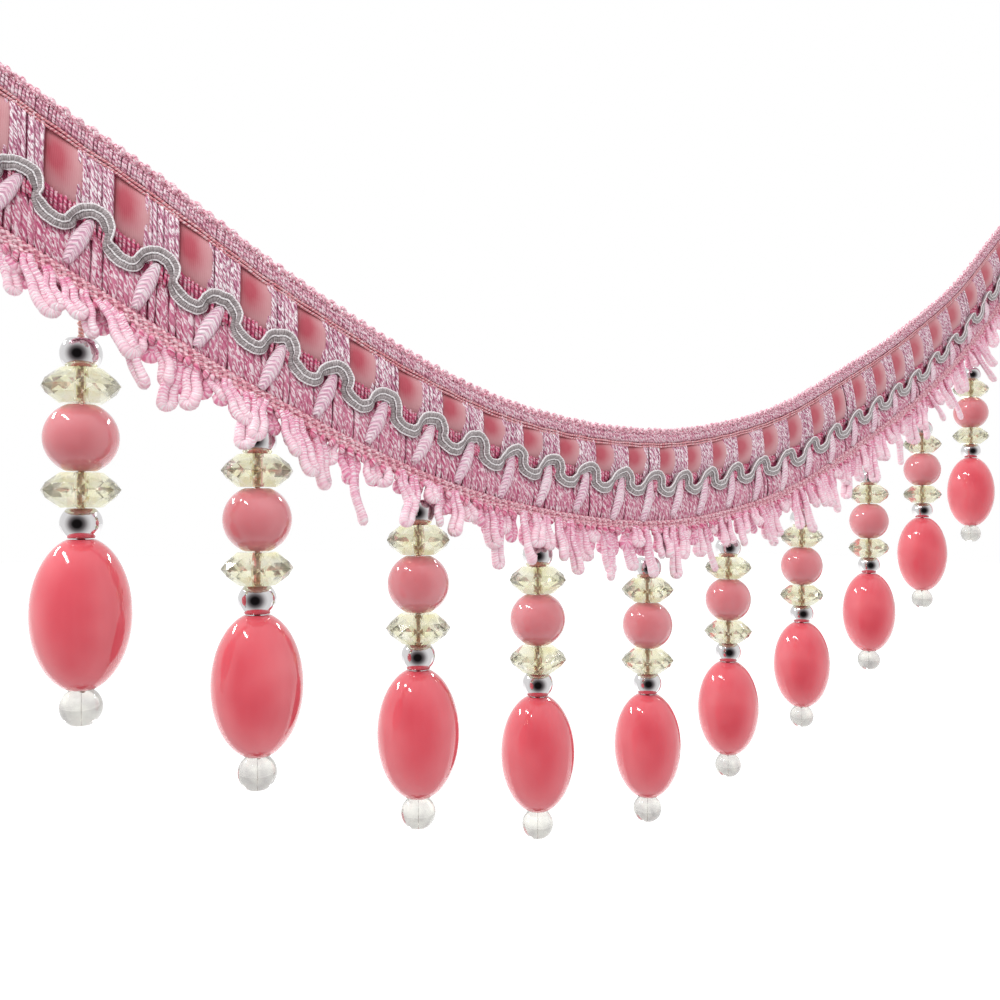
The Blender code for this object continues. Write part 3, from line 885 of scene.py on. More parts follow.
    def build_foot_ribs(self, finish: YarnFinish) -> bpy.types.Object:
        """Short bright stitches that close the foot of each window over the ribbon.

        Args:
            finish: Its finish.

        Returns:
            The piece.
        """
        half = 0.5 * self.window_share
        spots = 0.5 + np.linspace(-half, half, self.foot_ribs)
        repeats = (np.arange(REPEATS)[:, None] + spots).reshape(-1)
        cord, _, _ = self.heights(self.swag.drop_of(repeats))
        trough = cord + self.cord_swing * np.cos(math.tau * repeats)
        out = np.array((0.1, 0.35, 0.4, 0.2))
        reach = 2.6 + self.draws.uniform(-0.3, 0.3, len(repeats))
        paths, front = self.upright(repeats, trough + 0.8, cord + reach, out, 0.008)
        skein = Skein()
        skein.add_strands(paths, front, 0.33, 0.33, 5, self.draws.uniform(0.2, 0.8, (len(repeats), 1)))
        return settle(skein.build("window_foot_stitches", finish.material()), Slot.YARN)

    def build_pockets(self, finish: YarnFinish) -> bpy.types.Object:
        """Short bright stitches that fill the hollow under each peak of the cords.

        Args:
            finish: Its finish.

        Returns:
            The piece.
        """
        spots = np.linspace(-0.17, 0.17, 7)
        repeats = (np.arange(1, REPEATS)[:, None] + spots).reshape(-1)
        cord, _, _ = self.heights(self.swag.drop_of(repeats))
        low = cord - self.draws.uniform(1.2, 2.6, len(repeats))
        paths, front = self.upright(repeats, low, cord + 1.8, np.array((0.9, 1.35, 1.3, 0.8)), 0.02, -0.02)
        skein = Skein()
        skein.add_strands(paths, front, 0.36, 0.36, 5, self.draws.uniform(0.1, 0.6, (len(repeats), 1)))
        return settle(skein.build("peak_stitches", finish.material()), Slot.YARN)

    def build_salmon_lines(self, finish: YarnFinish) -> bpy.types.Object:
        """Two fine twisted lines laid along the tops of the windows.

        Args:
            finish: Its finish.

        Returns:
            The piece.
        """
        repeats = np.linspace(0, REPEATS, REPEATS * 18 + 1)
        drop = self.swag.drop_of(repeats)
        _, lintel, _ = self.heights(drop)
        lines = []
        for height in (0.1, 0.85):
            wobble = 0.08 * np.sin(repeats * 9.1 + height)
            lines.append(self.swag.point(drop, lintel + height + wobble, 0.75))
        front = np.broadcast_to(self.swag.front(drop), (2, len(drop), 3))
        skein = Skein()
        skein.add_strands(np.stack(lines), front, 0.29, 0.29, 6, 0.5)
        return settle(skein.build("salmon_lines", finish.material()), Slot.YARN)

    def build_band_ribs(self, finish: YarnFinish) -> bpy.types.Object:
        """The ribbed band under the top edge: short upright strands, light and dark by turns.

        Args:
            finish: Its finish.

        Returns:
            The piece.
        """
        repeats = (np.arange(REPEATS * self.band_ribs) + 0.5) / self.band_ribs
        _, lintel, width = self.heights(self.swag.drop_of(repeats))
        out = np.array((0.15, 0.55, 0.6, 0.45, 0.1))
        paths, front = self.upright(repeats, lintel + 1.1, width - 1.1, out, 0.006, -0.01)
        tone = 0.2 + 0.55 * (np.arange(len(repeats)) % 2) + self.draws.uniform(-0.2, 0.2, len(repeats))
        skein = Skein()
        start = self.draws.uniform(0, 4, len(repeats))
        skein.add_strands(paths, front, 0.36, 0.36, 5, tone[:, None], start)
        return settle(skein.build("ribbed_band", finish.material()), Slot.YARN)

    def build_picots(self, finish: YarnFinish) -> bpy.types.Object:
        """Small round loops that stand along the top edge.

        Args:
            finish: Its finish.

        Returns:
            The piece.
        """
        count = REPEATS * self.picots_per_repeat
        middle = (np.arange(count) + 0.5) / self.picots_per_repeat
        turn = np.linspace(-0.45 * math.pi, 1.45 * math.pi, 14)
        skein = Skein()
        for size, shift, out in ((1.0, 0.0, 0.3), (0.85, 0.5, -0.7)):
            repeats = middle + shift / self.picots_per_repeat
            repeats = repeats[repeats < REPEATS]
            drop = self.swag.drop_of(repeats)
            spacing = self.swag.spacing(drop)
            grow = self.draws.uniform(0.82, 1.12, (len(repeats), 1)) * size
            place = drop[:, None] + 0.66 * np.cos(turn) * grow / spacing[:, None]
            _, _, width = self.heights(drop)
            height = width[:, None] - 0.35 + 0.72 * np.sin(turn) * grow
            depth = out + 0.35 * np.cos(turn + self.draws.uniform(-1, 1, (len(repeats), 1)))
            paths = self.swag.point(place, height, depth)
            # Each loop is painted lighter over its top as painted highlight and darker at its foot as
            # painted shade; the rest of its tone differs at random.
            tone = self.draws.uniform(0.2, 0.7, (len(repeats), 1)) + 0.25 * np.sin(turn)
            skein.add_strands(paths, self.swag.front(place), 0.46, 0.44, 6, tone)
        return settle(skein.build("picots", finish.material()), Slot.YARN)

    def build_tabs(self, finish: YarnFinish) -> bpy.types.Object:
        """Pale braided tabs, one hanging down from under each peak of the cords.

        Args:
            finish: Its finish.

        Returns:
            The piece.
        """
        repeats = np.arange(1, REPEATS) + self.draws.uniform(-0.04, 0.06, REPEATS - 1)
        share = np.linspace(0, 1, 12)
        drop = self.swag.drop_of(repeats)
        spacing = self.swag.spacing(drop)
        reach = np.interp(drop, (0, 5, 11), (5.6, 3.6, 2.6)) + self.draws.uniform(-0.7, 0.7, len(repeats))
        place = drop[:, None] - (reach / spacing)[:, None] * (0.1 + share)
        cord, _, _ = self.heights(drop)
        foot = self.foot + self.draws.uniform(-0.3, 1.2, len(repeats))
        head = cord + 1.0
        height = head[:, None] + (foot - head)[:, None] * share
        out = 1.3 + 0.95 * np.sin(math.pi * share)
        paths = self.swag.point(place, height, out + np.zeros_like(place))
        wide = 0.75 + 0.95 * np.sin(math.pi * np.clip(0.1 + 0.8 * share, 0, 1)) ** 1.5
        wide = wide * (1 + 0.02 * drop[:, None])
        skein = Skein()
        tone = self.draws.uniform(0.4, 0.8, (len(repeats), 1))
        skein.add_strands(paths, self.swag.front(place), wide, 0.62, 10, tone)
        return settle(skein.build("braided_tabs", finish.material()), Slot.YARN)


@dataclass
class Ribbon:
    """The satin ribbon: flat behind each bundle, puffed out through each window."""

    swag: Swag
    heading: Heading
    back: float = -2.8
    flat_front: float = -1.85
    rows: int = 13
    # How far the ribbon stands out at each place through a repeat, in millimetres.
    puff: tuple[tuple[float, float], ...] = (
        (0.0, 0.0),
        (0.12, 0.0),
        (0.21, 0.3),
        (0.245, 1.7),
        (0.28, 2.3),
        (0.35, 2.65),
        (0.42, 2.85),
        (0.5, 3.05),
        (0.58, 3.25),
        (0.66, 3.4),
        (0.72, 3.45),
        (0.76, 3.4),
        (0.785, 3.1),
        (0.8, 2.4),
        (0.807, 1.2),
        (0.815, 0.2),
        (0.88, 0.0),
    )

    def build(self, finish: SatinFinish) -> bpy.types.Object:
        """Args:
            finish: Its finish.

        Returns:
            The piece.
        """
        steps, puff = np.array(self.puff).T
        repeats = np.append((np.arange(REPEATS)[:, None] + steps).reshape(-1), REPEATS)
        puff = np.append(np.tile(puff, REPEATS), 0.0)
        drop = self.swag.drop_of(repeats)
        cord, lintel, _ = self.heading.heights(drop)
        low = cord + self.heading.window_above_cord - 1.4
        high = lintel + 1.1
        share = np.linspace(0, 1, self.rows)
        across = (repeats % 1 - 0.5) / 0.3
        dome = np.sin(math.pi * share) ** 0.32
        height = low[None, :] + (high - low)[None, :] * share[:, None]
        out = self.flat_front + puff[None, :] * dome[:, None]
        front = self.swag.point(drop[None, :], height, out)
        back = self.swag.point(drop[None, :], height, self.back + 0 * height)
        steps = np.linalg.norm(np.diff(front[self.rows // 2], axis=0), axis=-1) / MM
        along = np.concatenate([[0], np.cumsum(steps)])
        uv = np.stack(np.broadcast_arrays(along[None, :], height), axis=-1)
        # Painted shade: the tone peaks a little left of each window's middle and above half height, and
        # falls off towards the window's edges, which stay pale as painted sheen.
        depth = np.exp(-(((across[None, :] + 0.3) / 0.75) ** 2) - ((share[:, None] - 0.58) / 0.36) ** 2)
        skein = Skein()
        skein.add_wrap(
            np.concatenate([front, back[::-1]]),
            np.concatenate([uv, uv[::-1]]),
            np.concatenate([depth, 0.3 + 0 * depth]),
        )
        piece = skein.build("puffed_satin_ribbon", finish.material())
        settle(piece, Slot.RIBBON, "ribbon")
        return piece


@dataclass
class WoundCords:
    """Two wound cords side by side on one snaking line, edged by fine pale threads."""

    swag: Swag
    heading: Heading
    draws: np.random.Generator
    lag: float = 0.12
    apart: float = 0.72
    radius: float = 0.62
    edge_radius: float = 0.24
    base: float = 1.75
    far_swing: float = 0.8
    far_turn: float = 50.0
    # One woven repeat of the pair's course: how far through it at the left end and at the right end,
    # millimetres above the middle line, and how far the pair is turned on edge at the left end, in degrees.
    course: tuple[tuple[float, float, float, float], ...] = (
        (-0.035, -0.06, 2.7, 0),
        (0.05, 0.01, 2.95, 0),
        (0.118, 0.08, 2.75, 5),
        (0.18, 0.15, 1.9, 25),
        (0.2, 0.19, 0.7, 55),
        (0.18, 0.22, -0.6, 65),
        (0.2, 0.26, -1.6, 45),
        (0.273, 0.33, -2.35, 12),
        (0.36, 0.41, -2.75, 0),
        (0.451, 0.5, -2.8, 0),
        (0.55, 0.6, -2.4, 8),
        (0.631, 0.68, -1.5, 30),
        (0.67, 0.74, -0.4, 52),
        (0.71, 0.78, 0.6, 42),
        (0.8, 0.83, 1.7, 15),
        (0.89, 0.88, 2.4, 0),
    )

    def line(self) -> tuple[np.ndarray, np.ndarray, np.ndarray, np.ndarray]:
        """The snaking middle line.

        Returns:
            Its points, its sideways direction, the cloth's front and how far the pair is turned.
        """
        near, far, rise, turned = np.tile(np.array(self.course), (REPEATS + 1, 1)).T
        lap = np.repeat(np.arange(REPEATS + 1), len(self.course))
        share = np.clip((lap + near) / REPEATS, 0, 1)
        count = lap + near + (far - near) * share + self.draws.uniform(-0.012, 0.012, len(lap))
        jitter = self.draws.uniform(-0.12, 0.12, len(lap))
        jitter += np.repeat(self.draws.uniform(-0.25, 0.25, REPEATS + 1), len(self.course))
        height = rise * (1 - (1 - self.far_swing) * share) + jitter
        on_edge = turned + (self.far_turn * np.clip(rise / 2.5, 0, 1) - turned) * share
        laps = np.stack([count, height, on_edge], axis=-1)
        laps = laps[(laps[:, 0] > 0) & (laps[:, 0] < REPEATS)]
        count, rise, turned = smooth_line(laps, 3).T
        drop = self.swag.drop_of(count + self.lag * (count / REPEATS) ** 2)
        path = self.swag.point(drop, self.swag.value("cord", drop) + rise, self.base + 0.12 * np.abs(rise))
        front = self.swag.front(drop)
        side = unit(np.cross(front, np.gradient(path, axis=0)))
        return path, side, front, np.radians(turned)[:, None]

    def build(self, finish: YarnFinish, edge: YarnFinish) -> list[bpy.types.Object]:
        """Builds the two cords and the pale threads at their edges.

        Args:
            finish: The cords' finish.
            edge: The threads'.

        Returns:
            The cords and the threads.
        """
        path, side, front, turned = self.line()
        spread = side * np.cos(turned) + front * np.sin(turned)
        cords, threads = Skein(), Skein()
        for across in (-self.apart, self.apart):
            run = path + spread * across * MM
            cords.add_strands(run[None], front[None], self.radius, 0.72, 8, 0.5)
        rim = self.apart + self.radius - 0.02
        wobble = 0.05 * np.sin(np.arange(len(path)) * 1.9)[:, None]
        for across, lift in ((-rim, 0.2), (0.0, 0.45), (rim, 0.2)):
            run = path + (spread * (across + wobble) + front * lift) * MM
            threads.add_strands(run[None], front[None], self.edge_radius, self.edge_radius, 5, 0.6)
        body = settle(cords.build("snaking_wound_cords", finish.material()), Slot.CORD, "wound_cords")
        rims = settle(threads.build("cord_edge_threads", edge.material()), Slot.CORD)
        return [body, rims]


@dataclass
class Fringe:
    """The stitched tape under the heading, and its soft loops of doubled cord."""

    swag: Swag
    draws: np.random.Generator
    tape_tall: float = 2.6
    tape_back: float = -1.4
    tape_front: float = 0.35
    stitch_pitch: float = 2.3
    leg: float = 0.88
    leg_radius: float = 0.9
    root: float = 1.0
    drop_reach: float = 0.27
    drop_lift: float = 3.0
    silver_tall: float = 6.0

    def build_tape(self, finish: YarnFinish) -> bpy.types.Object:
        """The narrow tape that the loops are sewn into.

        Args:
            finish: Its finish.

        Returns:
            The piece.
        """
        drop = np.linspace(FRINGE_START, FRINGE_END, 260)
        section = ((0.0, self.tape_front), (self.tape_tall, self.tape_front))
        section += ((self.tape_tall, self.tape_back), (0.0, self.tape_back))
        ring = np.stack([self.swag.point(drop, height, out) for height, out in section])
        along = self.swag.row(drop)[None, :, 0]
        uv = np.stack(np.broadcast_arrays(along, np.arange(4.0)[:, None]), axis=-1)
        skein = Skein()
        skein.add_wrap(ring, uv, 0.3)
        return settle(skein.build("fringe_tape", finish.material(), smooth=False), Slot.FRINGE)

    def build_stitches(self, light: YarnFinish, dark: YarnFinish) -> list[bpy.types.Object]:
        """Two rows of twisted stitches along the tape, each a light and a dark strand wound together.

        Args:
            light: The light strand's finish.
            dark: The dark strand's.

        Returns:
            The light strands and the dark ones.
        """
        grid = np.linspace(FRINGE_START, FRINGE_END, 4000)
        steps = np.linalg.norm(np.diff(self.swag.row(grid), axis=0), axis=-1)
        length = np.concatenate([[0], np.cumsum(steps)])
        count = int(length[-1] / self.stitch_pitch * 8)
        run = np.linspace(0, length[-1], count)
        drop = np.interp(run, length, grid)
        front = self.swag.front(drop)
        pieces = []
        for name, finish, phase in (("stitches_light", light, 0.0), ("stitches_dark", dark, math.pi)):
            skein = Skein()
            for height, start in ((0.75, 0.0), (2.05, 1.3)):
                turn = math.tau * run / self.stitch_pitch + phase + start
                path = self.swag.point(drop, height + 0.45 * np.cos(turn), 0.9 + 0.34 * np.sin(turn))
                skein.add_strands(path[None], front[None], 0.42, 0.38, 6, 0.5)
            pieces.append(settle(skein.build(name, finish.material()), Slot.FRINGE))
        return pieces

    def build_knots(self, finish: YarnFinish) -> bpy.types.Object:
        """Small soft knots under the tape, where the loops are caught.

        Args:
            finish: Its finish.

        Returns:
            The piece.
        """
        place = np.linspace(FRINGE_START + 0.02, FRINGE_END - 0.02, 205)
        place = place + self.draws.uniform(-0.01, 0.01, len(place))
        share = np.linspace(0, 1, 6)
        low = self.draws.uniform(-1.7, -0.9, (len(place), 1))
        sway = self.draws.uniform(-0.018, 0.018, (len(place), 1))
        height = 0.5 + (low - 0.5) * share
        out = 0.75 + 0.55 * np.sin(math.pi * share) + self.draws.uniform(-0.2, 0.3, (len(place), 1))
        drop = place[:, None] + sway * share
        wide = self.draws.uniform(0.5, 0.75, (len(place), 1)) * (0.7 + 0.5 * np.sin(math.pi * share))
        skein = Skein()
        tone = self.draws.uniform(0.1, 0.7, (len(place), 1))
        skein.add_strands(self.swag.point(drop, height, out), self.swag.front(drop), wide, wide, 7, tone)
        return settle(skein.build("loop_knots", finish.material()), Slot.FRINGE)

    def loops(self, behind: bool) -> dict[str, np.ndarray]:
        """Works out where each loop hangs.

        Args:
            behind: Whether these are the short loops behind the others.

        Returns:
            Place, length, lean and lift of each loop.
        """
        number = np.arange(len(FRINGE) * LOOPS_PER_DROP)
        place = (number + (1.0 if behind else 0.5)) / LOOPS_PER_DROP
        length = np.concatenate([row[0] for row in FRINGE]).astype(float)
        lean = np.concatenate([row[1] for row in FRINGE]).astype(float)
        nearest = np.clip(np.round(place), 1, DROPS).astype(int)
        hang = np.array([station.hang for station in self.swag.stations])[nearest]
        tie = np.array([station.tie for station in self.swag.stations])[nearest]
        spacing = np.linalg.norm(self.swag.row(nearest + 0.5) - self.swag.row(nearest - 0.5), axis=-1)
        near_drop = np.abs(place - nearest - tie / spacing) < self.drop_reach
        lift = np.where(near_drop, self.drop_lift, 0.6)
        if behind:
            length = np.clip(0.55 * (length + np.roll(length, -1)) * 0.5 + 1.5, 3.5, 7.0)
            length = np.where(near_drop, np.minimum(length, hang), length)
            lift = np.full_like(lift, -0.3)
            lean = 0.5 * (lean + np.roll(lean, -1)) - 6
        else:
            length = np.where(near_drop, np.minimum(length, hang + self.silver_tall), length)
        keep = (place > FRINGE_START + 0.04) & (place < FRINGE_END - 0.04)
        return {"place": place[keep], "length": length[keep], "lean": lean[keep], "lift": lift[keep]}

    def build_loops(self, finish: YarnFinish, behind: bool) -> bpy.types.Object:
        """Loops of doubled cord, their two legs turning round each other on the way down.

        Args:
            finish: Its finish.
            behind: Whether these are the short loops behind the others.

        Returns:
            The piece.
        """
        loops = self.loops(behind)
        count = len(loops["place"])
        loops["place"] += self.draws.uniform(-0.018, 0.018, count)
        loops["length"] += self.draws.uniform(-1.0, 0.6, count)
        loops["lean"] += self.draws.uniform(-9, 9, count)
        size = self.draws.uniform(0.95, 1.38, (count, 1))
        down = np.linspace(0, 1, 10)[:-1]
        bend = np.linspace(0, math.pi, 7)
        tall = np.maximum(loops["length"] + self.root - self.leg, 1.5)
        share = np.concatenate([down, np.ones(len(bend)), down[::-1]])
        side = np.concatenate([-np.ones(len(down)), -np.cos(bend), np.ones(len(down))])
        belly = 0.5 + 0.55 * share**0.8
        fall = tall[:, None] * share
        fall[:, len(down) : len(down) + len(bend)] += self.leg * np.sin(bend)
        twist = self.draws.uniform(-0.9, 1.1, (count, 1)) * tall[:, None] / 12
        turn = self.draws.uniform(-0.5, 0.5, (count, 1)) + twist * share
        wave = 0.3 * np.sin(9 * share + self.draws.uniform(0, math.tau, (count, 1)))
        across = self.leg * size * side * belly * np.cos(turn) + wave
        depth = self.leg * size * side * belly * np.sin(turn)
        lean = np.radians(loops["lean"])[:, None]
        curl = self.draws.uniform(-1.2, 1.2, (count, 1)) * share**2
        curl = curl + self.draws.uniform(-0.7, 0.7, (count, 1)) * np.sin(math.pi * share)
        drop = loops["place"][:, None] + 0 * share
        level, _, front, _ = self.swag.axes(drop)
        sway = loops["lift"][:, None] * (0.5 + 0.5 * share)
        sway = sway + self.draws.uniform(-0.5, 0.7, (count, 1)) * share
        shift = across + fall * np.tan(lean) + curl
        origin = self.swag.row(drop) + np.array((0, 0, self.root))
        path = origin + level * shift[..., None] + front * (depth + sway)[..., None]
        path = path - fall[..., None] * np.array((0, 0, 1.0))
        radius = self.leg_radius * size * (0.58 + 0.48 * share)
        tone = np.clip(0.05 + 1.15 * share + self.draws.uniform(-0.2, 0.2, (count, 1)), 0, 1)
        skein = Skein()
        skein.add_strands(path * MM, front, radius, radius, 7, tone, self.draws.uniform(0, 3, count))
        name = "fringe_loops_behind" if behind else "fringe_loops"
        nodes = () if behind else tuple(f"fringe_{number}" for number in range(1, 6))
        return settle(skein.build(name, finish.material()), Slot.FRINGE, *nodes)


@dataclass
class BeadKit:
    """The bead shapes, turned or cut once and hung ten times."""

    thread_radius: float = 0.85
    bore: float = 1.0
    oval_radius: float = 10.0
    oval_tall: float = 31.0
    oval_full: float = 32.4
    ball_radius: float = 7.5
    ball_tall: float = 13.8
    ball_full: float = 15.0
    silver_radius: float = 4.2
    silver_tall: float = 6.2
    silver_full: float = 8.1
    stop_radius: float = 4.25
    stop_tall: float = 7.3
    stop_full: float = 8.4
    stop_bore: float = 0.05
    disc_radius: float = 7.85
    disc_tall: float = 7.2
    disc_table: float = 4.3
    disc_crown: float = 6.9
    disc_sides: int = 12
    meshes: dict[str, bpy.types.Mesh] = field(default_factory=dict)

    def round_mesh(
        self, name: str, radius: float, tall: float, full: float, bore: float, material: bpy.types.Material
    ) -> bpy.types.Mesh:
        """A drilled egg or ball with small flat ends.

        Args:
            name: The mesh's name.
            radius: Its widest radius in millimetres.
            tall: Its height along the bore.
            full: The height that it would have without the flats.
            bore: The radius of its bore.
            material: Its finish.

        Returns:
            The mesh, centred on its middle.
        """
        end = math.acos(tall / full)
        turn = np.linspace(end, math.pi - end, 33)
        lip = radius * math.sin(end)
        soft = 0.5 * tall
        radii = np.concatenate([[bore, lip - 0.35], radius * np.sin(turn), [lip - 0.35, bore, bore]])
        heights = np.concatenate([[soft, soft], 0.5 * full * np.cos(turn) * 0.995, [-soft, -soft, 0.0]])
        return self.turned(name, radii, heights, 48, material)

    def turned(
        self, name: str, radii: np.ndarray, heights: np.ndarray, sides: int, material: bpy.types.Material
    ) -> bpy.types.Mesh:
        """A ring-shaped body turned about Z from a closed outline.

        Args:
            name: The mesh's name.
            radii: Radius at each point of the outline in millimetres.
            heights: Height of each point.
            sides: Sides round the axis.
            material: Its finish.

        Returns:
            The mesh.
        """
        angle = np.linspace(0, math.tau, sides, endpoint=False)
        wide = radii[:, None]
        ring = np.stack([wide * np.cos(angle), wide * np.sin(angle), heights[:, None] + 0 * angle], axis=-1)
        number = np.arange(len(radii) * sides).reshape(len(radii), sides)
        below, beside = np.roll(number, -1, axis=0), np.roll(number, -1, axis=1)
        corners = np.stack([number, below, np.roll(below, -1, axis=1), beside], axis=-1).reshape(-1, 4)
        mesh = bpy.data.meshes.new(name)
        mesh.from_pydata((ring.reshape(-1, 3) * MM).tolist(), [], corners.tolist())
        mesh.shade_smooth()
        mesh.materials.append(material)
        return mesh

    def disc_mesh(self, name: str, material: bpy.types.Material) -> bpy.types.Mesh:
        """A cut disc: flat tables, two rows of three-cornered facets each side of its waist, and a bore.

        Args:
            name: The mesh's name.
            material: Its finish.

        Returns:
            The mesh, centred on its middle.
        """
        half = 0.5 * self.disc_tall
        outline = (
            (self.bore, half, 0.0),
            (self.disc_table, half, 0.0),
            (self.disc_crown, 0.42 * half, 0.5),
            (self.disc_radius, 0.0, 0.0),
            (self.disc_crown, -0.42 * half, 0.5),
            (self.disc_table, -half, 0.0),
            (self.bore, -half, 0.0),
        )
        sides = self.disc_sides
        points = []
        for radius, height, offset in outline:
            for side in range(sides):
                angle = math.tau * (side + offset) / sides
                points.append((radius * math.cos(angle) * MM, radius * math.sin(angle) * MM, height * MM))
        faces = []
        for row, (upper, lower) in enumerate(zip(outline, outline[1:] + outline[:1])):
            below = (row + 1) % len(outline)
            for side in range(sides):
                a, b = row * sides + side, row * sides + (side + 1) % sides
                c, d = below * sides + side, below * sides + (side + 1) % sides
                if lower[2] > upper[2]:
                    faces += [(a, c, b), (b, c, d)]
                elif lower[2] < upper[2]:
                    faces += [(a, c, d), (a, d, b)]
                else:
                    faces.append((a, c, d, b))
        mesh = bpy.data.meshes.new(name)
        mesh.from_pydata(points, [], faces)
        mesh.materials.append(material)
        return mesh

    def prepare(self) -> None:
        """Makes each shape once, with its finish."""
        self.meshes["disc"] = self.disc_mesh("cut_disc", PALE_DISC.material())
        rounds = (
            ("ball", self.ball_radius, self.ball_tall, self.ball_full, self.bore, ROSE_BALL),
            ("oval", self.oval_radius, self.oval_tall, self.oval_full, self.bore, ROSE_OVAL),
            ("silver", self.silver_radius, self.silver_tall, self.silver_full, self.bore, SILVER_PLATE),
            ("stop", self.stop_radius, self.stop_tall, self.stop_full, self.stop_bore, CLEAR_STOP),
        )
        for kind, radius, tall, full, bore, finish in rounds:
            name = f"{kind}_bead"
            self.meshes[kind] = self.round_mesh(name, radius, tall, full, bore, finish.material())

    def hang(
        self, kind: str, name: str, centre: tuple, turn: float, slot: Slot, *nodes: str
    ) -> bpy.types.Object:
        """Hangs one bead.

        Args:
            kind: Which shape.
            name: The piece's name.
            centre: Its middle, in metres.
            turn: How far it is spun on the thread, in radians.
            slot: Its material slot.
            *nodes: The CAD nodes that it stands for.

        Returns:
            The bead.
        """
        bead = bpy.data.objects.new(name, self.meshes[kind])
        bead.location = centre
        bead.rotation_euler = (0, 0, turn)
        bpy.context.scene.collection.objects.link(bead)
        return settle(bead, slot, *nodes)


@dataclass
class Drop:
    """One drop: seven beads on a twisted thread."""

    number: int
    kit: BeadKit
    draws: np.random.Generator
    thread_rows: int = 90
    thread_pitch: float = 2.6

    def build(self, thread: bpy.types.Material) -> None:
        """Hangs the beads where the CAD has them, and runs the thread through.

        Args:
            thread: The thread's finish.
        """
        name = f"drop_{self.number:02d}"
        spots = {}
        for label in ("string", "rondelle_top", "ball", "rondelle_low", "oval"):
            low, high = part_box(f"{name}_{label}")
            spots[label] = (low, high)
        low, high = spots["string"]
        x, y = 0.5 * (low.x + high.x), 0.5 * (low.y + high.y)
        spin = self.draws.uniform(0, math.tau, 7)

        def middle(label: str) -> tuple[float, float, float]:
            """The middle of a CAD bead, on the thread."""
            return x, y, 0.5 * (spots[label][0].z + spots[label][1].z)

        hang = self.kit.hang
        beads = (
            ("disc", "disc_upper", "rondelle_top", Slot.PALE),
            ("ball", "ball_bead", "ball", Slot.ROSE),
            ("disc", "disc_lower", "rondelle_low", Slot.PALE),
            ("oval", "oval_bead", "oval", Slot.ROSE),
        )
        for turn, (kind, piece, label, slot) in zip(spin, beads):
            hang(kind, f"{name}_{piece}", middle(label), turn, slot, f"{name}_{label}")
        half = 0.5 * self.kit.silver_tall * MM
        upper = (x, y, spots["rondelle_top"][1].z + half)
        lower = (x, y, 0.5 * (spots["rondelle_low"][0].z + spots["oval"][1].z))
        hang("silver", f"{name}_silver_upper", upper, spin[4], Slot.SILVER)
        hang("silver", f"{name}_silver_lower", lower, spin[5], Slot.SILVER)
        stop = (x, y, spots["oval"][0].z - 0.5 * self.kit.stop_tall * MM)
        hang("stop", f"{name}_stop_bead", stop, spin[6], Slot.PALE)
        height = np.linspace(high.z, spots["oval"][0].z - 1.2 * MM, self.thread_rows)
        skein = Skein()
        radius = self.kit.thread_radius
        for phase in (0.0, math.pi):
            turn = math.tau * (high.z - height) / (self.thread_pitch * MM) + phase
            sway = 0.5 * radius * MM
            path = np.stack([x + sway * np.cos(turn), y + sway * np.sin(turn), height], axis=-1)
            skein.add_strands(path[None], np.array((0, -1.0, 0)), 0.55 * radius, 0.55 * radius, 6, 0.5)
        settle(skein.build(f"{name}_thread", thread), Slot.SILVER, f"{name}_string")


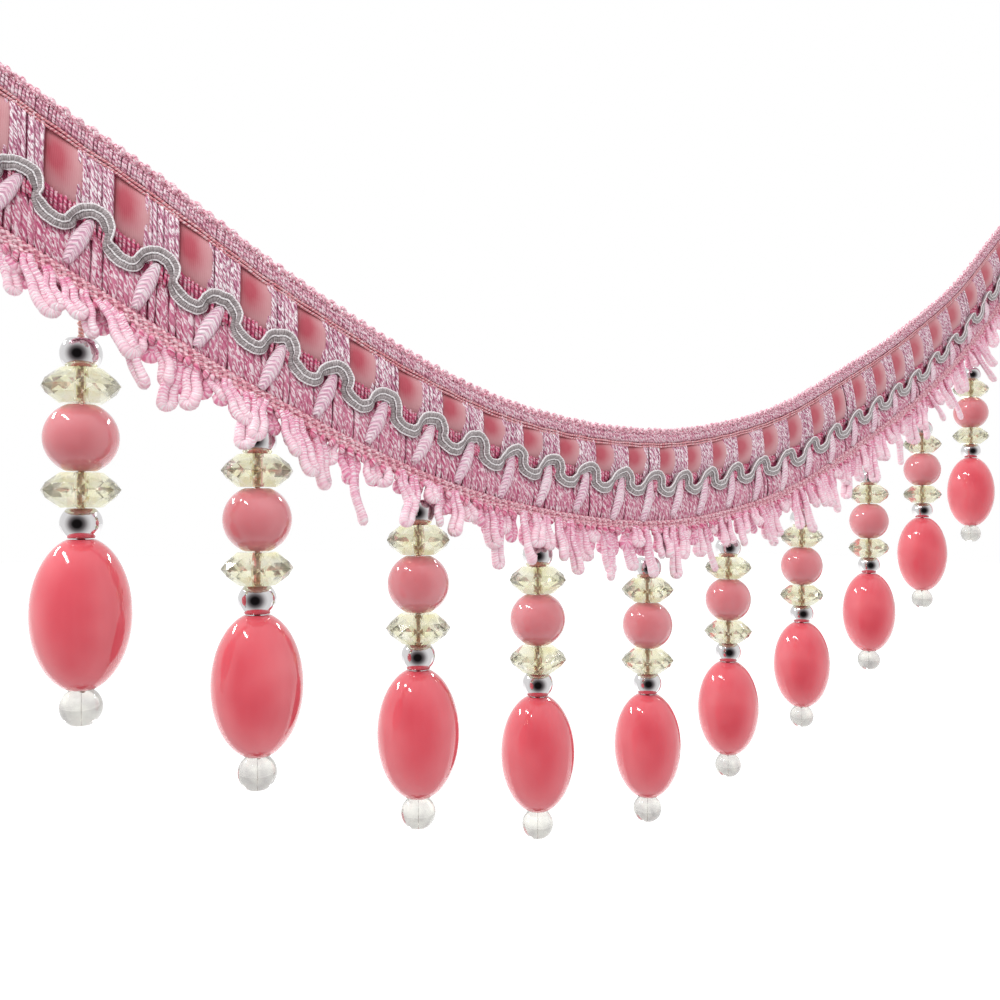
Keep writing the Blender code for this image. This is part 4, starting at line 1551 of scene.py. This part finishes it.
@dataclass(frozen=True)
class Studio:
    """A white room with narrow soft boxes and a wide fill, a pale floor far below, and the camera."""

    camera_place: tuple[float, float, float] = (-0.2258, -0.2009, -0.0209)
    camera_turn: float = -40.0
    lens_mm: float = 36.0
    sensor_mm: float = 36.0
    floor_height: float = -0.45
    floor_radius: float = 4.0
    floor_start: float = 0.45

    def build(self) -> None:
        """Sets the room up."""
        scene = bpy.context.scene
        scene.view_settings.view_transform = "Standard"
        lens = bpy.data.cameras.new("camera")
        lens.lens, lens.sensor_width = self.lens_mm, self.sensor_mm
        lens.clip_start = 0.01
        camera = bpy.data.objects.new("camera", lens)
        camera.location = self.camera_place
        camera.rotation_euler = (math.radians(90), 0, math.radians(self.camera_turn))
        scene.collection.objects.link(camera)
        scene.camera = camera
        self.light("top_left_strip", (-0.72, 0.1, 0.8), (0.6, 0.06), 4.0)
        self.light("far_left_strip", (-0.5, 0.75, 0.5), (0.3, 0.05), 2.5)
        self.light("top_right_strip", (0.95, 0.2, 0.7), (0.4, 0.08), 4.0)
        self.light("front_fill", (-0.7, -0.95, 0.85), (1.3, 1.3), 8.0, "ELLIPSE")
        self.world()
        self.floor()

    def light(self, name: str, place: tuple, size: tuple, power: float, shape: str = "RECTANGLE") -> None:
        """Adds a light that looks at the trim; the round one leaves no patch on glossy beads.

        Args:
            name: The light's name.
            place: Where it stands, in metres.
            size: Its width and height in metres.
            power: Its power in watts.
            shape: RECTANGLE for a soft box, ELLIPSE for the fill.
        """
        box = bpy.data.lights.new(name, "AREA")
        box.shape = shape
        box.size, box.size_y = size
        box.energy = power
        lamp = bpy.data.objects.new(name, box)
        lamp.location = place
        lamp.visible_glossy = shape == "RECTANGLE"
        aim = np.array((0.0, 0.0, -0.03)) - np.array(place)
        yaw = math.atan2(-aim[0], aim[1])
        pitch = math.atan2(math.hypot(aim[0], aim[1]), -aim[2])
        lamp.rotation_euler = (pitch, 0, yaw)
        bpy.context.scene.collection.objects.link(lamp)

    def world(self) -> None:
        """White all round, with the dark of the room behind the camera where glossy beads mirror it."""
        world = bpy.data.worlds.new("white_room")
        world.use_nodes = True
        tree = world.node_tree
        tree.nodes.clear()
        node = partial(add_node, tree)
        turn = math.radians(self.camera_turn)
        behind = (math.sin(turn), -math.cos(turn), -0.05)
        place = node("ShaderNodeTexCoord").outputs["Generated"]
        facing = node("ShaderNodeVectorMath", {0: place, 1: behind}, operation="DOT_PRODUCT")
        room = node("ShaderNodeValToRGB", {0: facing.outputs["Value"]})
        set_stops(room, [(0.2, "#FFFFFF"), (0.5, "#D2D0D0"), (0.74, "#7C7678"), (0.92, "#1A1718")])
        sky = node("ShaderNodeBackground", {0: room.outputs[0], 1: 0.95}).outputs[0]
        seen = node("ShaderNodeBackground", {0: (1, 1, 1, 1), 1: 1.0}).outputs[0]
        even = node("ShaderNodeBackground", {0: (1, 1, 1, 1), 1: 0.68}).outputs[0]
        ray = node("ShaderNodeLightPath").outputs
        lit = node("ShaderNodeMixShader", {0: ray["Is Diffuse Ray"], 1: sky, 2: even}).outputs[0]
        both = node("ShaderNodeMixShader", {0: ray["Is Camera Ray"], 1: lit, 2: seen}).outputs[0]
        node("ShaderNodeOutputWorld", {0: both})
        bpy.context.scene.world = world

    def floor(self) -> None:
        """A plain pale floor, round, from under the trim to far behind it."""
        mesh = bpy.data.meshes.new("floor")
        turn = np.linspace(0, math.tau, 96, endpoint=False)
        ring = np.stack([np.cos(turn), np.sin(turn), 0 * turn], axis=-1) * self.floor_radius
        mesh.from_pydata(ring.tolist(), [], [tuple(range(len(ring)))])
        material, _, shader = new_material("matt_white_paint")
        shader.inputs["Base Color"].default_value = linear("#F4F4F4")
        shader.inputs["Roughness"].default_value = 0.9
        shader.inputs["Emission Color"].default_value = linear("#FFFFFF")
        shader.inputs["Emission Strength"].default_value = 0.5
        mesh.materials.append(material)
        floor = bpy.data.objects.new("floor", mesh)
        yaw = math.radians(self.camera_turn)
        ahead = self.floor_radius + self.floor_start
        place = (self.camera_place[0] - math.sin(yaw) * ahead, self.camera_place[1] + math.cos(yaw) * ahead)
        floor.location = (*place, self.floor_height)
        bpy.context.scene.collection.objects.link(floor)


# Viscose floss takes dye deeply and shines; its furrows are painted dark wine as painted shade and its
# ridges near white as painted highlight.
BUNDLE_YARN = YarnFinish("plied_viscose_bundles", "#833454", "#C37595", "#F1C7D6", strands=3.0, glint=1.0)
LOWER_YARN = YarnFinish(
    "spun_viscose_floss",
    "#AF3664",
    "#CC7392",
    "#E2A8B9",
    pitch_mm=2.1,
    strands=3.0,
    tone_share=0.5,
    glint=0.7,
)
GROUND_WEAVE = YarnFinish(
    "woven_cotton_ground", "#BE3F6D", "#D65C86", "#E680A1", pitch_mm=0.6, sheen=0.15, glint=0.0
)
FOOT_STITCH = YarnFinish(
    "bright_viscose_stitches", "#B02D56", "#DB6088", "#F299B4", pitch_mm=1.2, strands=1.0
)
SALMON_LINE = YarnFinish(
    "twisted_salmon_viscose", "#B65266", "#DA8089", "#F2AFB3", pitch_mm=0.9, strands=1.0
)
RIBBED_YARN = YarnFinish(
    "ribbed_viscose", "#8F425E", "#CD869D", "#F4C2CF", pitch_mm=1.1, strands=1.0, glint=0.65
)
PICOT_YARN = YarnFinish(
    "looped_viscose", "#B05873", "#DF96AA", "#FACED7", pitch_mm=1.1, strands=1.0, glint=0.7
)
# Knitted chainette shows as fine chevrons, the wound cord as close cross ribs between pale edges.
TAB_BRAID = YarnFinish(
    "chainette_braid",
    "#CB87A8",
    "#ECBACF",
    "#FFE5EC",
    stitch=Stitch.CHAINETTE,
    pitch_mm=1.0,
    strands=1.5,
    relief_mm=0.3,
    sheen=0.4,
    glint=0.75,
)
GREY_CORD = YarnFinish(
    "wound_grey_cord",
    "#453D3E",
    "#857A7B",
    "#CFC6C7",
    pitch_mm=0.42,
    strands=1.0,
    tone_share=0.6,
    relief_mm=0.05,
    glint=0.35,
)
EDGE_THREAD = YarnFinish("pale_edge_thread", "#CFC4C7", "#F2ECEE", "#FFFFFF", pitch_mm=0.7, strands=1.0)
LOOP_CORD = YarnFinish(
    "chainette_loop_cord",
    "#E47DA5",
    "#F0A8C3",
    "#FED8E3",
    stitch=Stitch.CHAINETTE,
    pitch_mm=0.7,
    strands=0.5,
    tone_share=0.75,
    relief_mm=0.09,
    sheen=0.45,
    glint=0.9,
)
# The loops behind take a darker copy of the loop cord's colours as painted shade.
BACK_LOOP_CORD = YarnFinish(
    "shaded_loop_cord", "#D6588A", "#EB8DB1", "#F8BFD2", stitch=Stitch.CHAINETTE, pitch_mm=0.95, strands=0.5
)
ROOT_KNOT = YarnFinish(
    "knotted_loop_roots", "#C44775", "#E57D9F", "#F6B2C5", pitch_mm=1.0, strands=2.0, glint=0.6
)
LIGHT_STITCH = YarnFinish(
    "light_twisted_stitches", "#CD8195", "#ECAAB7", "#FED5DD", pitch_mm=1.0, strands=1.0
)
DARK_STITCH = YarnFinish(
    "deep_twisted_stitches", "#A64B66", "#D0788E", "#EDAAB7", pitch_mm=1.0, strands=1.0
)
BEAD_THREAD = YarnFinish("peach_bead_thread", "#DB8473", "#F2B09D", "#FFD9CD", pitch_mm=1.0, strands=1.0)
# The ribbon is painted deep coral in each window as painted shade, and pale towards its far edge as painted
# sheen.
RIBBON_SATIN = SatinFinish("coral_satin_ribbon", "#BC4F5E", "#D8A2A7")
# Milky acrylic glows softly; clear acrylic shows the thread through it; plating mirrors the dark room.
ROSE_BALL = RoseAcrylicFinish("rose_acrylic_ball", "#CE747A", "#D47E84", "#DC8E94", streak=0.12)
ROSE_OVAL = RoseAcrylicFinish("rose_acrylic_oval", "#DB5763", "#E0616C", "#E67079", streak=0.2)
PALE_DISC = ClearAcrylicFinish("cut_pale_acrylic", "#E2DFB0", haze=0.14)
CLEAR_STOP = ClearAcrylicFinish("clear_acrylic_stop", "#B9B5B5", haze=0.08)
SILVER_PLATE = PlatedFinish("vacuum_plated_bead", "#DBD9DA")


def main() -> None:
    """Builds the trim, piece by piece."""
    logging.basicConfig(level=logging.INFO, format="%(message)s")
    Studio().build()
    draws = np.random.default_rng(SEED)
    swag = Swag()
    heading = Heading(swag, draws)
    heading.build_ground(GROUND_WEAVE)
    heading.build_bundles(BUNDLE_YARN)
    heading.build_lower_yarns(LOWER_YARN)
    heading.build_foot_ribs(FOOT_STITCH)
    heading.build_pockets(FOOT_STITCH)
    heading.build_salmon_lines(SALMON_LINE)
    heading.build_band_ribs(RIBBED_YARN)
    heading.build_picots(PICOT_YARN)
    heading.build_tabs(TAB_BRAID)
    Ribbon(swag, heading).build(RIBBON_SATIN)
    WoundCords(swag, heading, draws).build(GREY_CORD, EDGE_THREAD)
    fringe = Fringe(swag, draws)
    fringe.build_tape(GROUND_WEAVE)
    fringe.build_stitches(LIGHT_STITCH, DARK_STITCH)
    fringe.build_knots(ROOT_KNOT)
    fringe.build_loops(LOOP_CORD, behind=False)
    fringe.build_loops(BACK_LOOP_CORD, behind=True)
    kit = BeadKit()
    kit.prepare()
    thread = BEAD_THREAD.material()
    for number in range(1, DROPS + 1):
        Drop(number, kit, draws).build(thread)


if __name__ == "__main__":
    main()
